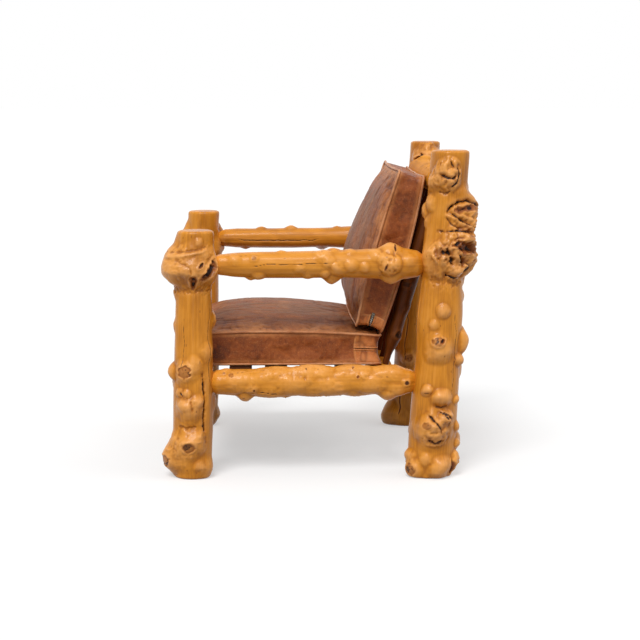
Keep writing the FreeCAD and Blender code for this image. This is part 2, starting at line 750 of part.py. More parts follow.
def build_frame(back_cushion_edge):
    """Posts, rails, slats and spindles, each a piece of its own."""
    half_spacing = size("post_spacing") / 2
    past = size("tenon_past_axis")
    short = size("tenon_short_of_axis")
    skins = {key: post_skin(*key) for key in POST_LOGS}
    mortises = {key: [] for key in POST_LOGS}
    pieces = []

    # Front rail, level with the top of the slats
    cross_radius = size("cross_rail_diameter") / 2
    rail_height = size("slat_top_height") - cross_radius
    front_back = post_axis("front", rail_height)
    front_span = size("post_spacing") - SHOULDER_SHARE * size("front_post_diameter")
    blank = cross_rail("front_rail", front_span, front_back, rail_height, size("cross_rail_diameter"),
                       FRONT_RAIL_BURL_SHARES)
    joints = cross_joints("front_rail", half_spacing - short, front_back, rail_height, "tenon_diameter",
                          "sizes.front_post_diameter")
    for side, joint in zip(SIDES, joints):
        mortises["front", side].append(joint.mortise())
    front_skins = [skins["front", side] for side in SIDES]
    pieces.append(scribed("front_rail", blank, front_skins, joints))

    # Crest rail, just behind the top of the back cushion
    crest_back, crest_height = crest_place(back_cushion_edge)
    crest_span = size("post_spacing") - SHOULDER_SHARE * size("rear_post_diameter")
    blank = cross_rail("crest_rail", crest_span, crest_back, crest_height, size("crest_rail_diameter"),
                       CREST_RAIL_BURL_SHARES)
    joints = cross_joints("crest_rail", half_spacing + past, crest_back, crest_height, "tenon_diameter",
                          "sizes.rear_post_diameter")
    for side, joint in zip(SIDES, joints):
        mortises["rear", side].append(joint.mortise())
    rear_skins = [skins["rear", side] for side in SIDES]
    crest_rail = scribed("crest_rail_log", blank, rear_skins, joints)

    # Arms and side rails
    arm_tables = {"left": (ARM_LEFT_BURL_SHARES, 1.0, 0), "right": (ARM_RIGHT_BURL_SHARES, 0.88, 1)}
    side_tables = {"left": SIDE_LEFT_BURL_SHARES, "right": SIDE_RIGHT_BURL_SHARES}
    rear_joints = cross_joints("rear_seat_rail", half_spacing + past, size("rear_rail_setback"), rail_height,
                               "cross_tenon_diameter", "sizes.side_rail_diameter + sizes.tenon_past_axis")
    side_blanks = []
    for (side, sign), rear_joint in zip(SIDES.items(), rear_joints):
        burl_shares, thickness_share, rises = arm_tables[side]
        height = size("arm_height") + rises * size("right_arm_rise")
        name = f"arm_{side}"
        blank = long_rail(name, side, height, size("arm_diameter") * thickness_share, ARM_GIRTH_SHARES,
                          burl_shares)
        joints = long_joints(name, side, height, -past, -past)
        mortises["front", side].append(joints[0].mortise())
        mortises["rear", side].append(joints[1].mortise())
        pieces.append(scribed(name, blank, [skins["front", side], skins["rear", side]], joints))

        height = size("side_rail_height")
        name = f"side_rail_{side}"
        blank = long_rail(name, side, height, size("side_rail_diameter"), SIDE_RAIL_GIRTH_SHARES,
                          side_tables[side])
        side_blanks.append(blank)
        joints = long_joints(name, side, height, short, -past)
        mortises["front", side].append(joints[0].mortise())
        mortises["rear", side].append(joints[1].mortise())
        log = scribed(f"{name}_log", blank, [skins["front", side], skins["rear", side]], joints)
        pieces.append(cut(name, log, [rear_joint.mortise()] + slat_notches(side)))

    # Rear seat rail, between the side rails
    rear_span = size("post_spacing") - SHOULDER_SHARE * size("side_rail_diameter")
    blank = cross_rail("rear_seat_rail", rear_span, size("rear_rail_setback"), rail_height,
                       size("cross_rail_diameter"), REAR_RAIL_BURL_SHARES)
    rear_rail = scribed("rear_seat_rail_log", blank, side_blanks, rear_joints)

    # Spindles, from the rear seat rail up to the crest rail
    foot = vector(0, size("rear_rail_setback"), rail_height)
    head = vector(0, crest_back, crest_height)
    foot_holes = []
    head_holes = []
    for number, across in enumerate(spindle_places(), 1):
        start = foot + vector(across, 0, 0)
        end = head + vector(across, 0, 0)
        pieces.append(spindle(f"back_spindle_{number}", start, end))
        foot_holes.append(spindle_hole(f"spindle_foot_hole_{number}", start, end - start))
        head_holes.append(spindle_hole(f"spindle_head_hole_{number}", end, start - end))
    pieces.append(cut("rear_seat_rail", rear_rail, foot_holes))
    pieces.append(cut("crest_rail", crest_rail, head_holes))

    pieces += [seat_slat(number, place) for number, place in enumerate(slat_places(), 1)]
    for (row, side), skin in skins.items():
        pieces.append(cut(f"{row}_post_{side}", skin, mortises[row, side]))
    return pieces


def crest_place(edge):
    """Where the crest rail lies: square behind the cushion's top rear piping, just clear of it."""
    stand_off = (size("piping_diameter") + size("crest_rail_diameter")) / 2 + size("cushion_clearance")
    place = edge.multVec(vector(0, 0, -stand_off))
    return place.y, place.z


def slat_places():
    """The slats' middles in Y, stepping back from the foremost."""
    first = -size("front_slat_setback")
    return [first + number * size("slat_pitch") for number in range(SLAT_COUNT)]


def slat_notches(side):
    """Notches across the inner top of a side rail, where the slats' ends lie."""
    notches = []
    length = "sizes.side_rail_diameter + sizes.fit_clearance"
    outer = "(sizes.post_spacing / 2 - sizes.slat_end_setback + sizes.fit_clearance)"
    across = f"{outer} - ({length})" if side == "left" else f"-{outer}"
    for number, place in enumerate(slat_places()):
        notch = doc.addObject("Part::Box", f"side_rail_{side}_notch_{number + 1}")
        notch.Label = notch.Name
        notch.setExpression("Length", length)
        notch.setExpression("Width", "sizes.slat_width + 2 * sizes.fit_clearance")
        notch.setExpression("Height", "sizes.slat_thickness + sizes.overrun")
        notch.setExpression("Placement.Base.x", across)
        middle = f"-sizes.front_slat_setback + {number} * sizes.slat_pitch"
        notch.setExpression("Placement.Base.y", f"{middle} - sizes.slat_width / 2 - sizes.fit_clearance")
        notch.setExpression("Placement.Base.z", "sizes.slat_top_height - sizes.slat_thickness")
        notches.append(notch)
    return notches


def seat_slat(number, place):
    """One slat across the side rails, its long edges eased."""
    name = f"seat_slat_{number}"
    body = doc.addObject("PartDesign::Body", name)
    body.Label = name
    section = centred_rectangle(body, f"{name}_section", "YZ_Plane", "slat_width", "slat_thickness")
    board = body.newObject("PartDesign::Pad", f"{name}_board")
    board.Profile = section
    board.SideType = "Symmetric"
    board.setExpression("Length", "sizes.post_spacing - 2 * sizes.slat_end_setback")
    doc.recompute()
    eased = body.newObject("PartDesign::Chamfer", f"{name}_edges")
    eased.Base = (board, edges_along(board, vector(1, 0, 0)))
    eased.setExpression("Size", "sizes.slat_edge_ease")
    middle = f"-sizes.front_slat_setback + {number - 1} * sizes.slat_pitch"
    body.setExpression("Placement.Base.y", middle)
    body.setExpression("Placement.Base.z", "sizes.slat_top_height - sizes.slat_thickness / 2")
    return body


def spindle_places():
    """The spindles' places across the back, even about the middle."""
    return [(number - (SPINDLE_COUNT - 1) / 2) * size("spindle_pitch") for number in range(SPINDLE_COUNT)]


def spindle(name, start, end):
    """Peeled sapling with a round tenon at both ends, which its taper runs out into."""
    diameter = size("spindle_diameter")
    tenon = size("spindle_tenon_diameter") / diameter
    girth_shares = ((0.00, tenon), (0.10, tenon), (0.20, 0.95), (0.40, 1.04), (0.60, 1.00), (0.80, 0.93),
                    (0.90, tenon), (1.00, tenon))
    length = (end - start).Length
    solid = log_solid(length, diameter, girth_shares, (), SPINDLE_SIDES, SPINDLE_STATION_SHARES)
    return feature(name, solid, FreeCAD.Placement(start, climb(end - start)))


def spindle_hole(name, end, direction):
    """Blind hole for a spindle's tenon, from its bottom outwards."""
    hole = doc.addObject("Part::Prism", name)
    hole.Label = name
    hole.Polygon = SPINDLE_SIDES
    hole.setExpression("Circumradius", "sizes.spindle_tenon_diameter / 2 + sizes.fit_clearance")
    hole.setExpression("Height", "sizes.crest_rail_diameter")
    hole.Placement = FreeCAD.Placement(end, climb(direction))
    return hole


def climb(direction):
    """Turn that brings Z to a direction."""
    return FreeCAD.Rotation(vector(0, 0, 1), direction)


# Cushions in their places

def seat_cushion_place(seat):
    """The seat cushion lies flat on the slats, on its lower piping."""
    front = -size("front_post_setback") - size("seat_cushion_overhang")
    lowest = size("slat_top_height") + size("cushion_clearance")
    height = lowest + size("seat_under_side_bow") + piping_reach()
    return FreeCAD.Placement(vector(0, front + seat.half_depth, height), UPRIGHT)


def piping_reach():
    """How far the piping stands out from the seam, its own thickness included."""
    return piping_stand_off() + size("piping_diameter") / 2


def back_cushion_place(seat, seat_place, back):
    """The back cushion leans back, its lower rear piping just over the seat cushion's rear piping."""
    lean = math.atan2(size("back_lean_run"), size("back_lean_rise"))
    turn = FreeCAD.Rotation(
        vector(-1, 0, 0),
        vector(0, -math.sin(lean), -math.cos(lean)),
        vector(0, -math.cos(lean), math.sin(lean)),
        "ZXY",
    )
    stand_off = piping_stand_off()
    rest = seat_place.multVec(vector(0, seat.half_depth + stand_off, seat.far_thickness + stand_off))
    rest += vector(0, 0, size("piping_diameter") + size("cushion_clearance"))
    foot = turn.multVec(vector(0, back.half_depth + stand_off, -stand_off))
    return FreeCAD.Placement(rest - foot, turn)


def top_rear_piping(back, back_place):
    """Middle of the back cushion's top rear piping, turned as the cushion is."""
    stand_off = piping_stand_off()
    middle = vector(0, -back.half_depth - stand_off, -stand_off)
    return back_place.multiply(FreeCAD.Placement(middle, UPRIGHT))


def slider_place(cushion):
    """The slider lies on the zip's closed end, its nose towards the corner that it runs to."""
    stand_off = 2 * size("cushion_clearance") + size("zip_thickness")
    corner, end = [point for point, outward in cushion.zip_line(stand_off)[-2:]]
    run = (corner - end).normalize()
    outward = vector(-run.y, run.x, 0)
    turn = FreeCAD.Rotation(run, vector(0, 0, -1), outward, "XZY")
    middle = end + run * (size("slider_length") / 2)
    return FreeCAD.Placement(middle + vector(0, 0, cushion.zip_height()), turn)


def build_cushion(cushion, place):
    """Cover, foam, two pipings, zip and slider of one cushion, all in its place."""
    pipings = [cushion.piping(True), cushion.piping(False)]
    pieces = [cushion.cover(), cushion.filling(), *pipings, cushion.zip_chain()]
    for piece in pieces:
        piece.Placement = place
    slider = zip_slider(cushion)
    slider.Placement = place.multiply(slider_place(cushion))
    return pieces + [slider]


seat = Cushion("seat_cushion", "seat")
back = Cushion("back_cushion", "back")
seat_place = seat_cushion_place(seat)
back_place = back_cushion_place(seat, seat_place, back)

pieces = build_frame(top_rear_piping(back, back_place))
pieces += build_cushion(seat, seat_place)
pieces += build_cushion(back, back_place)
doc.recompute()

for thing in doc.Objects:
    if {"Invalid", "Error"} & set(thing.State):
        raise RuntimeError(f"{thing.Label} did not build")
for piece in pieces:
    if piece.Shape.isNull() or not piece.Shape.isValid():
        raise RuntimeError(f"{piece.Label} has no sound shape")

os.makedirs("parts", exist_ok=True)
for piece in pieces:
    piece.Shape.exportStep(f"parts/{piece.Label}.step")
print(f"{len(pieces)} pieces written")
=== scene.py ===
# %% [markdown]
# A log lounge chair. Four burled posts, rails with rounded ends and two loose leather cushions.
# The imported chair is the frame: it says where every piece is, and the surfaces here go over it.
# Every log is one formula, a height over a round skin, so the cells build up that formula first.

# %% Load the frame
import json
import math

import bpy
import numpy as np
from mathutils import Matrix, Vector


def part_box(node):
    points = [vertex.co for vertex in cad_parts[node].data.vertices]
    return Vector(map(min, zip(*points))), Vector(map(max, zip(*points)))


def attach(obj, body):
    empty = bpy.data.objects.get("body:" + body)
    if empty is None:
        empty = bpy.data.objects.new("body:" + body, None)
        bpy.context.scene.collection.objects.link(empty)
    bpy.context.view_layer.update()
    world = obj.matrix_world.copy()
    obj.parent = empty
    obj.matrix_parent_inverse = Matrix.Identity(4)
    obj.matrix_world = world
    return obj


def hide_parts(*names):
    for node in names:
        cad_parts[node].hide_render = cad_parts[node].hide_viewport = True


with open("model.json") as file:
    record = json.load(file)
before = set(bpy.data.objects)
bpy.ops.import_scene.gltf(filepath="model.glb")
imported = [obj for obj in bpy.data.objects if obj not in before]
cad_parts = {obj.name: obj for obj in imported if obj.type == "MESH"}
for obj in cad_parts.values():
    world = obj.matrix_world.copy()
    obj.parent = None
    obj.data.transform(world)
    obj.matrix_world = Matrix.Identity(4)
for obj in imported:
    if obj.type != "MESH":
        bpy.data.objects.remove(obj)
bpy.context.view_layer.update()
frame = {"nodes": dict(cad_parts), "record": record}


def in_scene(name, data):
    """A new object of the given data, put into the scene."""
    made = bpy.data.objects.new(name, data)
    bpy.context.scene.collection.objects.link(made)
    return made


# %% [markdown]
# The camera and the lamps come first, so that every later step can be looked at. The photograph
# was taken from the sitter's left with a long lens, a little above the arm. A white studio is a
# bright even world, one broad key lamp above the camera and a weak one from the back. Suns light
# the floor alike near and far, so the floor runs into the white behind with no line.

# %% Camera
CAMERA_PLACE = (4.572, -0.151, 1.034)
CAMERA_TILT = (81.7341, 0, 87.9833)
CAMERA_LENS = 91.69
SENSOR_WIDTH = 36

camera_data = bpy.data.cameras.new("camera")
camera_data.lens = CAMERA_LENS
camera_data.sensor_width = SENSOR_WIDTH
camera = in_scene("camera", camera_data)
camera.location = CAMERA_PLACE
camera.rotation_euler = [math.radians(angle) for angle in CAMERA_TILT]
bpy.context.scene.camera = camera
bpy.context.scene.view_settings.view_transform = "Standard"


# %% Lamps
def sun(name, towards, strength, width):
    """A far lamp: towards points from the chair to the lamp, and width in degrees softens its shadow."""
    data = bpy.data.lights.new(name, "SUN")
    data.energy = strength
    data.angle = math.radians(width)
    in_scene(name, data).rotation_euler = Vector(towards).to_track_quat("Z", "Y").to_euler()


sun("key", (0.75, -0.26, 1.0), 2.30, 26)
sun("back_light", (0.20, 0.9, 1.0), 0.50, 40)

# %% [markdown]
# Shader maths reads better as sums than as a web of nodes. A small class wraps one socket, and
# each operator on it adds one Math node. Every other node comes from a single method.


# %% Shader maths
class Value:
    """One output of a material's nodes. Sums on it add Math nodes to the same tree."""

    def __init__(self, tree, socket=None):
        self.tree = tree
        self.socket = socket

    def node(self, kind, inputs=None, output=0, stops=None, **settings):
        """Adds any node: its settings first, a ramp's stops, then its sockets' values or links."""
        made = self.tree.nodes.new(kind)
        for setting, value in settings.items():
            setattr(made, setting, value)
        if stops:
            ramp = made.color_ramp
            while len(ramp.elements) < len(stops):
                ramp.elements.new(1)
            for element, (place, colour) in zip(ramp.elements, stops):
                element.position = place
                element.color = colour
        for key, value in (inputs or {}).items():
            if isinstance(value, Value):
                self.tree.links.new(value.socket, made.inputs[key])
            else:
                made.inputs[key].default_value = value
        return Value(self.tree, made.outputs[output])

    def math(self, operation, first, second):
        return self.node("ShaderNodeMath", {0: first, 1: second}, operation=operation)

    def __add__(self, other):
        return self.math("ADD", self, other)

    def __radd__(self, other):
        return self.math("ADD", other, self)

    def __sub__(self, other):
        return self.math("SUBTRACT", self, other)

    def __rsub__(self, other):
        return self.math("SUBTRACT", other, self)

    def __mul__(self, other):
        return self.math("MULTIPLY", self, other)

    def __rmul__(self, other):
        return self.math("MULTIPLY", other, self)

    def clamped(self):
        return self.node("ShaderNodeClamp", {"Value": self})

    def ramp(self, *stops):
        """Colours in order of height: each stop is a height and a colour."""
        return self.node("ShaderNodeValToRGB", {"Fac": self}, stops=stops)

    def place(self):
        """Where on its own object a surface point is."""
        return self.node("ShaderNodeTexCoord", output="Object")

    def between(self, low, high):
        """Nothing at low and one at high, with an eased rise."""
        inputs = {"Value": self, "From Min": low, "From Max": high}
        return self.node("ShaderNodeMapRange", inputs, interpolation_type="SMOOTHSTEP")

    def attribute(self, name, output="Fac"):
        return self.node("ShaderNodeAttribute", output=output, attribute_name=name)

    def blend(self, share, first, second):
        """One colour at share 0, the other at 1."""
        return self.node("ShaderNodeMix", {0: share, 6: first, 7: second}, 2, data_type="RGBA")

    def tinted(self, share, colour):
        """This colour with a share of another one over it."""
        return self.blend(share.clamped(), self, colour)

    def stretched(self, place, scale):
        return self.node("ShaderNodeMapping", {"Vector": place, "Scale": scale})

    def noise(self, place, scale, detail, roughness, distortion=0.0):
        inputs = {"Vector": place, "Scale": scale, "Detail": detail, "Roughness": roughness,
                  "Distortion": distortion}
        return self.node("ShaderNodeTexNoise", inputs)

    def cells(self, place, scale, feature="F1"):
        return self.node("ShaderNodeTexVoronoi", {"Vector": place, "Scale": scale}, feature=feature)


def paint(*shade):
    """A colour as seen on a screen, 0 to 255, as the linear light that sockets take."""
    share = np.array(shade) / 255
    light = np.where(share <= 0.04045, share / 12.92, ((share + 0.055) / 1.055) ** 2.4)
    return (*light.tolist(), 1.0)


def material(name, colour, roughness, bump, bump_depth, **constants):
    """A finish of one Principled shader. Colour, roughness and bump come from the given functions."""
    made = bpy.data.materials.new(name)
    made.use_nodes = True
    shader = made.node_tree.nodes["Principled BSDF"]
    for socket, value in constants.items():
        shader.inputs[socket.replace("_", " ")].default_value = value
    links = made.node_tree.links
    links.new(colour(Value(made.node_tree)).socket, shader.inputs["Base Color"])
    links.new(roughness(Value(made.node_tree)).socket, shader.inputs["Roughness"])
    height = bump(Value(made.node_tree))
    bumped = height.node("ShaderNodeBump", {"Height": height, "Distance": bump_depth, "Strength": 1.0})
    links.new(bumped.socket, shader.inputs["Normal"])
    return made


# %% [markdown]
# The floor takes the chair's shadow. Seen by the camera it is part white light of its own and part
# lit surface, so it comes out white where it is lit and grey only in the shadow. To the world's
# own rays it is a plain pale floor.

# %% White room
FLOOR_REACH = 60
FLOOR_GLOW_SHARE = 0.46
FLOOR_LIGHT_BACK = (0.34, 0.33, 0.32, 1)
FLOOR_SEEN = (0.94, 0.94, 0.94, 1)
WORLD_LEVEL = 0.48


def seen_directly(start):
    """One where a ray comes from the camera, a mirror or a glass, nothing where it only lights."""
    camera_ray, glossy_ray, glass_ray = [
        start.node("ShaderNodeLightPath", output=f"Is {kind} Ray")
        for kind in ("Camera", "Glossy", "Transmission")]
    return (camera_ray + glossy_ray + glass_ray).clamped()


def white_room():
    world = bpy.data.worlds.new("room")
    bpy.context.scene.world = world
    world.use_nodes = True
    start = Value(world.node_tree)
    background = world.node_tree.nodes["Background"]
    background.inputs["Color"].default_value = (1, 1, 1, 1)
    level = WORLD_LEVEL + (1 - WORLD_LEVEL) * seen_directly(start)
    world.node_tree.links.new(level.socket, background.inputs["Strength"])

    mesh = bpy.data.meshes.new("floor")
    corners = [(-FLOOR_REACH, -FLOOR_REACH, 0), (FLOOR_REACH, -FLOOR_REACH, 0),
               (FLOOR_REACH, FLOOR_REACH, 0), (-FLOOR_REACH, FLOOR_REACH, 0)]
    mesh.from_pydata(corners, [], [(0, 1, 2, 3)])
    floor = in_scene("floor", mesh)
    finish = bpy.data.materials.new("floor")
    finish.use_nodes = True
    tree = finish.node_tree
    tree.nodes.remove(tree.nodes["Principled BSDF"])
    start = Value(tree)
    pale = start.blend(seen_directly(start), FLOOR_LIGHT_BACK, FLOOR_SEEN)
    lit = start.node("ShaderNodeBsdfDiffuse", {"Color": pale})
    glow = start.node("ShaderNodeEmission", {"Color": (1, 1, 1, 1), "Strength": 1.0})
    share = seen_directly(start) * FLOOR_GLOW_SHARE
    mixed = start.node("ShaderNodeMixShader", {0: share, 1: lit, 2: glow})
    tree.links.new(mixed.socket, tree.nodes["Material Output"].inputs["Surface"])
    mesh.materials.append(finish)
    print("floor and world made")


white_room()

# %% [markdown]
# Wood and leather are never smooth, so two kinds of lumps come up again and again: soft swells and
# round pebbles. Both are worked out in space, not on the skin, so they have no seam anywhere.


# %% Lumps in space
def chance(cell, seed):
    """A fixed number from 0 to 1 for each whole-numbered place, by mixing its three numbers' bits."""
    whole = cell.astype(np.int64)
    mixed = whole[..., 0] * 73856093 ^ whole[..., 1] * 19349663 ^ whole[..., 2] * 83492791 ^ seed * 2654435
    mixed = (mixed ^ (mixed >> 13)) * 1274126177
    mixed = (mixed ^ (mixed >> 16)) & 0xFFFFFF
    return mixed / 0xFFFFFF


def swell(points, size, seed=0):
    """Soft lumps from -1 to 1: each corner of a cell has its own height, eased between corners."""
    places = points / size
    cell = np.floor(places)
    share = places - cell
    share = share * share * (3 - 2 * share)
    total = 0
    for corner in np.ndindex(2, 2, 2):
        step = np.array(corner)
        weight = np.prod(np.where(step == 1, share, 1 - share), axis=-1)
        total = total + weight * chance(cell + step, seed)
    return total * 2 - 1


def rough(points, size, seed, layers=3):
    """Swells of halving size and strength, one on the other."""
    return sum(swell(points, size / 2**layer, seed + layer) / 2**layer for layer in range(layers))


def pebbles(points, size, seed):
    """Round lumps from 0 to 1: one at each cell's own point, falling off to the borders between."""
    places = points / size
    cell = np.floor(places)
    nearest = np.full(points.shape[:-1], 9.0)
    for corner in np.ndindex(3, 3, 3):
        near = cell + np.array(corner) - 1
        centre = near + np.stack([chance(near, seed + axis) for axis in range(3)], -1)
        nearest = np.minimum(nearest, np.sum((places - centre) ** 2, -1))
    return np.clip(1 - nearest, 0, 1)


print("swell at three places", np.round(swell(np.array([[0.1, 0, 0], [0.2, 0, 0], [0.3, 0, 0]]), 0.1), 2))

# %% [markdown]
# A peeled log is a round skin with burls: domes where the tree grew round a bud or a branch. Some
# are smooth, some have an eye where the branch was, some are gnarled all over. Every point of the
# skin has a share of the length and a share of a turn, and the height there is worked out for the
# whole grid at once. The same places and sizes as in the solids keep each burl where it belongs.

# %% Burls
MERGE_POWER = 2.4
WARP_SHARE = 0.20
# by kind: the power of the dome's profile, and how far its foot spreads beyond its reach
DOME_SHAPES = {"soft": (1.9, 1.22), "knob": (1.15, 1.08), "gnarl": (1.2, 1.08), "eye": (1.6, 1.16)}
EYE_SHARE = 0.42
PEBBLE_SIZE = 0.013
PEBBLE_RISE = 0.0034
WRINKLE_RISE = 0.0062
SPECKLE_RISE = 0.0006
# the rise at which a burl's painted highlight is full
FULL_GLOW_RISE = 0.012
FULL_GNARL_RISE = 0.010
FLUTE_STRETCH = (0.007, 0.007, 0.13)
FLUTE_RISE = 0.00045
FLAT_STRETCH = (0.026, 0.026, 0.16)
FLAT_RISE = 0.0016
SLOW_SIZE = 0.11
SLOW_RISE = 0.0022


def ease_table(along, table):
    """A value along the log, eased between the listed shares of its length."""
    shares, values = np.array(table).T
    step = np.clip(np.searchsorted(shares, along) - 1, 0, len(shares) - 2)
    part = np.clip((along - shares[step]) / (shares[step + 1] - shares[step]), 0, 1)
    return values[step] + (values[step + 1] - values[step]) * (1 - np.cos(np.pi * part)) / 2


def smooth_step(low, high, value):
    """Nothing up to low and one from high on, with an eased rise: 3 squares less 2 cubes of the share."""
    share = np.clip((value - low) / (high - low), 0, 1)
    return share * share * (3 - 2 * share)


def bell(value, width):
    """One where the value is nought, falling off to both sides within about the width."""
    return np.exp(-((value / width) ** 2))


class Skin:
    """Height over a log's round skin, with masks for its knots and cracks, which also carry painted
    shade, and for a painted highlight, all as grids.
    """

    def __init__(self, length, diameter, along, turn, seed):
        self.length = length
        self.diameter = diameter
        self.along = along
        self.turn = turn
        self.seed = seed
        angle = turn * math.tau
        radius = diameter / 2
        self.place = np.stack([radius * np.cos(angle), radius * np.sin(angle), along * length], -1)
        self.warp = [swell(self.place, 0.045, seed + step) + 0.5 * swell(self.place, 0.02, seed + step + 4)
                     for step in (1, 2)]
        self.pebble = pebbles(self.place, PEBBLE_SIZE, seed + 9)
        self.wrinkle = 1 - np.abs(rough(self.place * np.array([1, 1, 0.8]), 0.022, seed + 12, 3))
        self.speckle = rough(self.place, 0.008, seed + 20, 2)
        self.domes = np.zeros_like(along)
        self.relief = np.zeros_like(along)
        self.knot_and_crevice_shade = np.zeros_like(along)
        self.crack_and_recess_shade = np.zeros_like(along)
        self.glow = np.zeros_like(along)

    def offsets(self, along, turn, lean=0):
        """Distances along and across from one place on the skin, the frame leaning by an angle."""
        up = (self.along - along) * self.length
        over = ((self.turn - turn + 0.5) % 1 - 0.5) * math.pi * self.diameter
        if lean:
            sine, cosine = math.sin(math.radians(lean)), math.cos(math.radians(lean))
            up, over = up * cosine + over * sine, over * cosine - up * sine
        return up, over

    def burl(self, along, turn, reach, rise, kind, stretch=1.0, lean=0, droop=0.0):
        """A dome of rise times a power of one less squared distance over its warped, drooping reach."""
        up, over = self.offsets(along, turn, lean)
        reach = reach * self.diameter
        rise = rise * self.diameter
        up = up + self.warp[0] * reach * WARP_SHARE
        over = over + self.warp[1] * reach * WARP_SHARE
        tall = reach * stretch * np.where(up > 0, 1 + droop, 1 - droop)
        distance = np.hypot(up / tall, over / reach)
        power, widen = DOME_SHAPES[kind]
        dome = np.clip(1 - (distance / widen) ** 2, 0, 1) ** power * rise
        self.domes += dome**MERGE_POWER
        inside = smooth_step(1.1, 0.8, distance)
        self.relief += inside * self.speckle * SPECKLE_RISE
        # Burl tops come out paler: a painted highlight.
        self.glow += smooth_step(1.0, 0.3, distance) * min(rise / FULL_GLOW_RISE, 1)
        if kind == "eye":
            self.eye(along, turn, reach * EYE_SHARE)
        if kind == "gnarl":
            lumps = (self.pebble - 0.5) * PEBBLE_RISE + (self.wrinkle - 0.75) * WRINKLE_RISE
            self.relief += inside * lumps * min(rise / FULL_GNARL_RISE, 1)
            # The seams between the lumps are darkened: painted shade in the crevices.
            seams = smooth_step(0.30, 0.05, self.pebble) + smooth_step(0.50, 0.34, self.wrinkle)
            self.knot_and_crevice_shade += inside * np.clip(seams, 0, 1) * 0.35

    def burls(self, table):
        """All burls of a table: for each kind, rows of what burl() takes besides the kind."""
        for kind, rows in table.items():
            for along, turn, reach, rise, *more in rows:
                self.burl(along, turn, reach, rise, kind, *more)

    def eye(self, along, turn, radius):
        """A branch's end: a rough sunk disc in a broken ring, with dark splits."""
        up, over = self.offsets(along, turn)
        distance = np.hypot(up, over) / radius + 0.16 * self.warp[0] + 0.30 * self.speckle
        disc = smooth_step(1.1, 0.8, distance)
        ring = bell(distance - 1.0, 0.16)
        broken = smooth_step(-0.25, 0.35, self.warp[1])
        lip = bell(distance - 1.35, 0.22)
        angle = np.arctan2(up, over) + self.warp[1] * 0.6
        split = bell(np.sin(1.5 * angle + self.seed), 0.20) * smooth_step(0.9, 0.1, distance)
        patches = smooth_step(0.15, 0.5, self.speckle) * disc
        self.relief += lip * radius * 0.09 - disc * radius * 0.10 - ring * broken * 0.0012
        self.relief -= split * 0.0016 + patches * 0.0010
        self.knot_and_crevice_shade += 0.62 * disc + 0.5 * ring
        self.crack_and_recess_shade += split * 0.55 + ring * broken * 0.5 + patches * 0.6

    def hollow(self, along, turn, half_length, half_width, lean, depth):
        """A pit with ragged edges, long one way: brown inside, and black where it is deepest, which is
        painted shade.
        """
        up, over = self.offsets(along, turn, lean)
        distance = np.hypot(up / half_length, over / half_width)
        ragged = distance + 0.30 * self.speckle + 0.25 * self.warp[0]
        pit = smooth_step(1.05, 0.35, ragged)
        lip = bell(ragged - 1.30, 0.25)
        self.relief += lip * 0.0022 - pit * depth
        self.knot_and_crevice_shade += smooth_step(1.25, 0.9, ragged)
        # The deepest part goes black: painted shade.
        deep = smooth_step(0.85, 0.35, ragged) * smooth_step(0.55, -0.15, self.speckle)
        edge = bell(ragged - 0.9, 0.13) * smooth_step(-0.1, 0.3, self.warp[1])
        self.crack_and_recess_shade += deep + edge * 0.8

    def line(self, points):
        """Distance from a bent line through places on the skin, and the share of its length there."""
        legs = []
        for (along, turn), (next_along, next_turn) in zip(points[:-1], points[1:]):
            up, over = self.offsets(along, turn)
            run_up = (next_along - along) * self.length
            run_over = ((next_turn - turn + 0.5) % 1 - 0.5) * math.pi * self.diameter
            share = np.clip((up * run_up + over * run_over) / (run_up**2 + run_over**2), 0, 1)
            legs.append((np.hypot(up - share * run_up, over - share * run_over), share))
        distances = np.stack([leg[0] for leg in legs])
        shares = np.stack([(leg[1] + step) / len(legs) for step, leg in enumerate(legs)])
        nearest = np.argmin(distances, 0)[None]
        return np.take_along_axis(distances, nearest, 0)[0], np.take_along_axis(shares, nearest, 0)[0]

    def ridge(self, points, width, rise):
        """A rounded ridge that fades at both ends: a bell curve across its line."""
        distance, share = self.line(points)
        distance = distance + self.warp[0] * width * 0.25
        fade = smooth_step(0, 0.12, share) * smooth_step(1, 0.88, share)
        self.relief += bell(distance, width) * rise * (0.35 + 0.65 * fade)

    def furrow(self, points, width, depth, dark=1.0):
        """A crease or a crack that wanders about its line, narrow at both ends. The line darkens as a
        crack, and the wider valley with painted shade.
        """
        distance, share = self.line(points)
        distance = np.abs(distance + self.speckle * width * 0.9)
        fade = 0.25 + 0.75 * smooth_step(0, 0.2, share) * smooth_step(1, 0.8, share)
        cut = bell(distance, width * fade)
        valley = bell(distance, width * 3.0)
        self.relief -= cut * depth + valley * depth * 0.35
        self.crack_and_recess_shade += cut * dark
        # The valley around the line darkens as painted shade.
        self.knot_and_crevice_shade += valley * dark * 0.35

    def check(self, start, end, turn, width, depth=0.003):
        """A drying crack along the grain: it wanders a little and closes at both ends."""
        up, over = self.offsets((start + end) / 2, turn)
        half = (end - start) / 2 * self.length
        line = np.stack([np.zeros_like(up), np.zeros_like(up), up], -1)
        wander = 0.004 * rough(line, 0.05, self.seed + 30)
        window = np.clip(1 - (up / half) ** 2, 0, 1)
        cut = bell(over - wander, width * (0.35 + 0.65 * window)) * smooth_step(0, 0.3, window)
        self.relief -= cut * depth
        self.crack_and_recess_shade += cut

    def height(self):
        """All of it together: merged domes, relief, hewn flats, long flutes and slow swells."""
        merged = self.domes ** (1 / MERGE_POWER)
        flutes = swell(self.place / np.array(FLUTE_STRETCH), 1.0, self.seed + 50) * FLUTE_RISE
        flats = swell(self.place / np.array(FLAT_STRETCH), 1.0, self.seed + 55) * FLAT_RISE
        slow = rough(self.place, SLOW_SIZE, self.seed + 60, 2) * SLOW_RISE
        return merged + self.relief + flutes + flats + slow


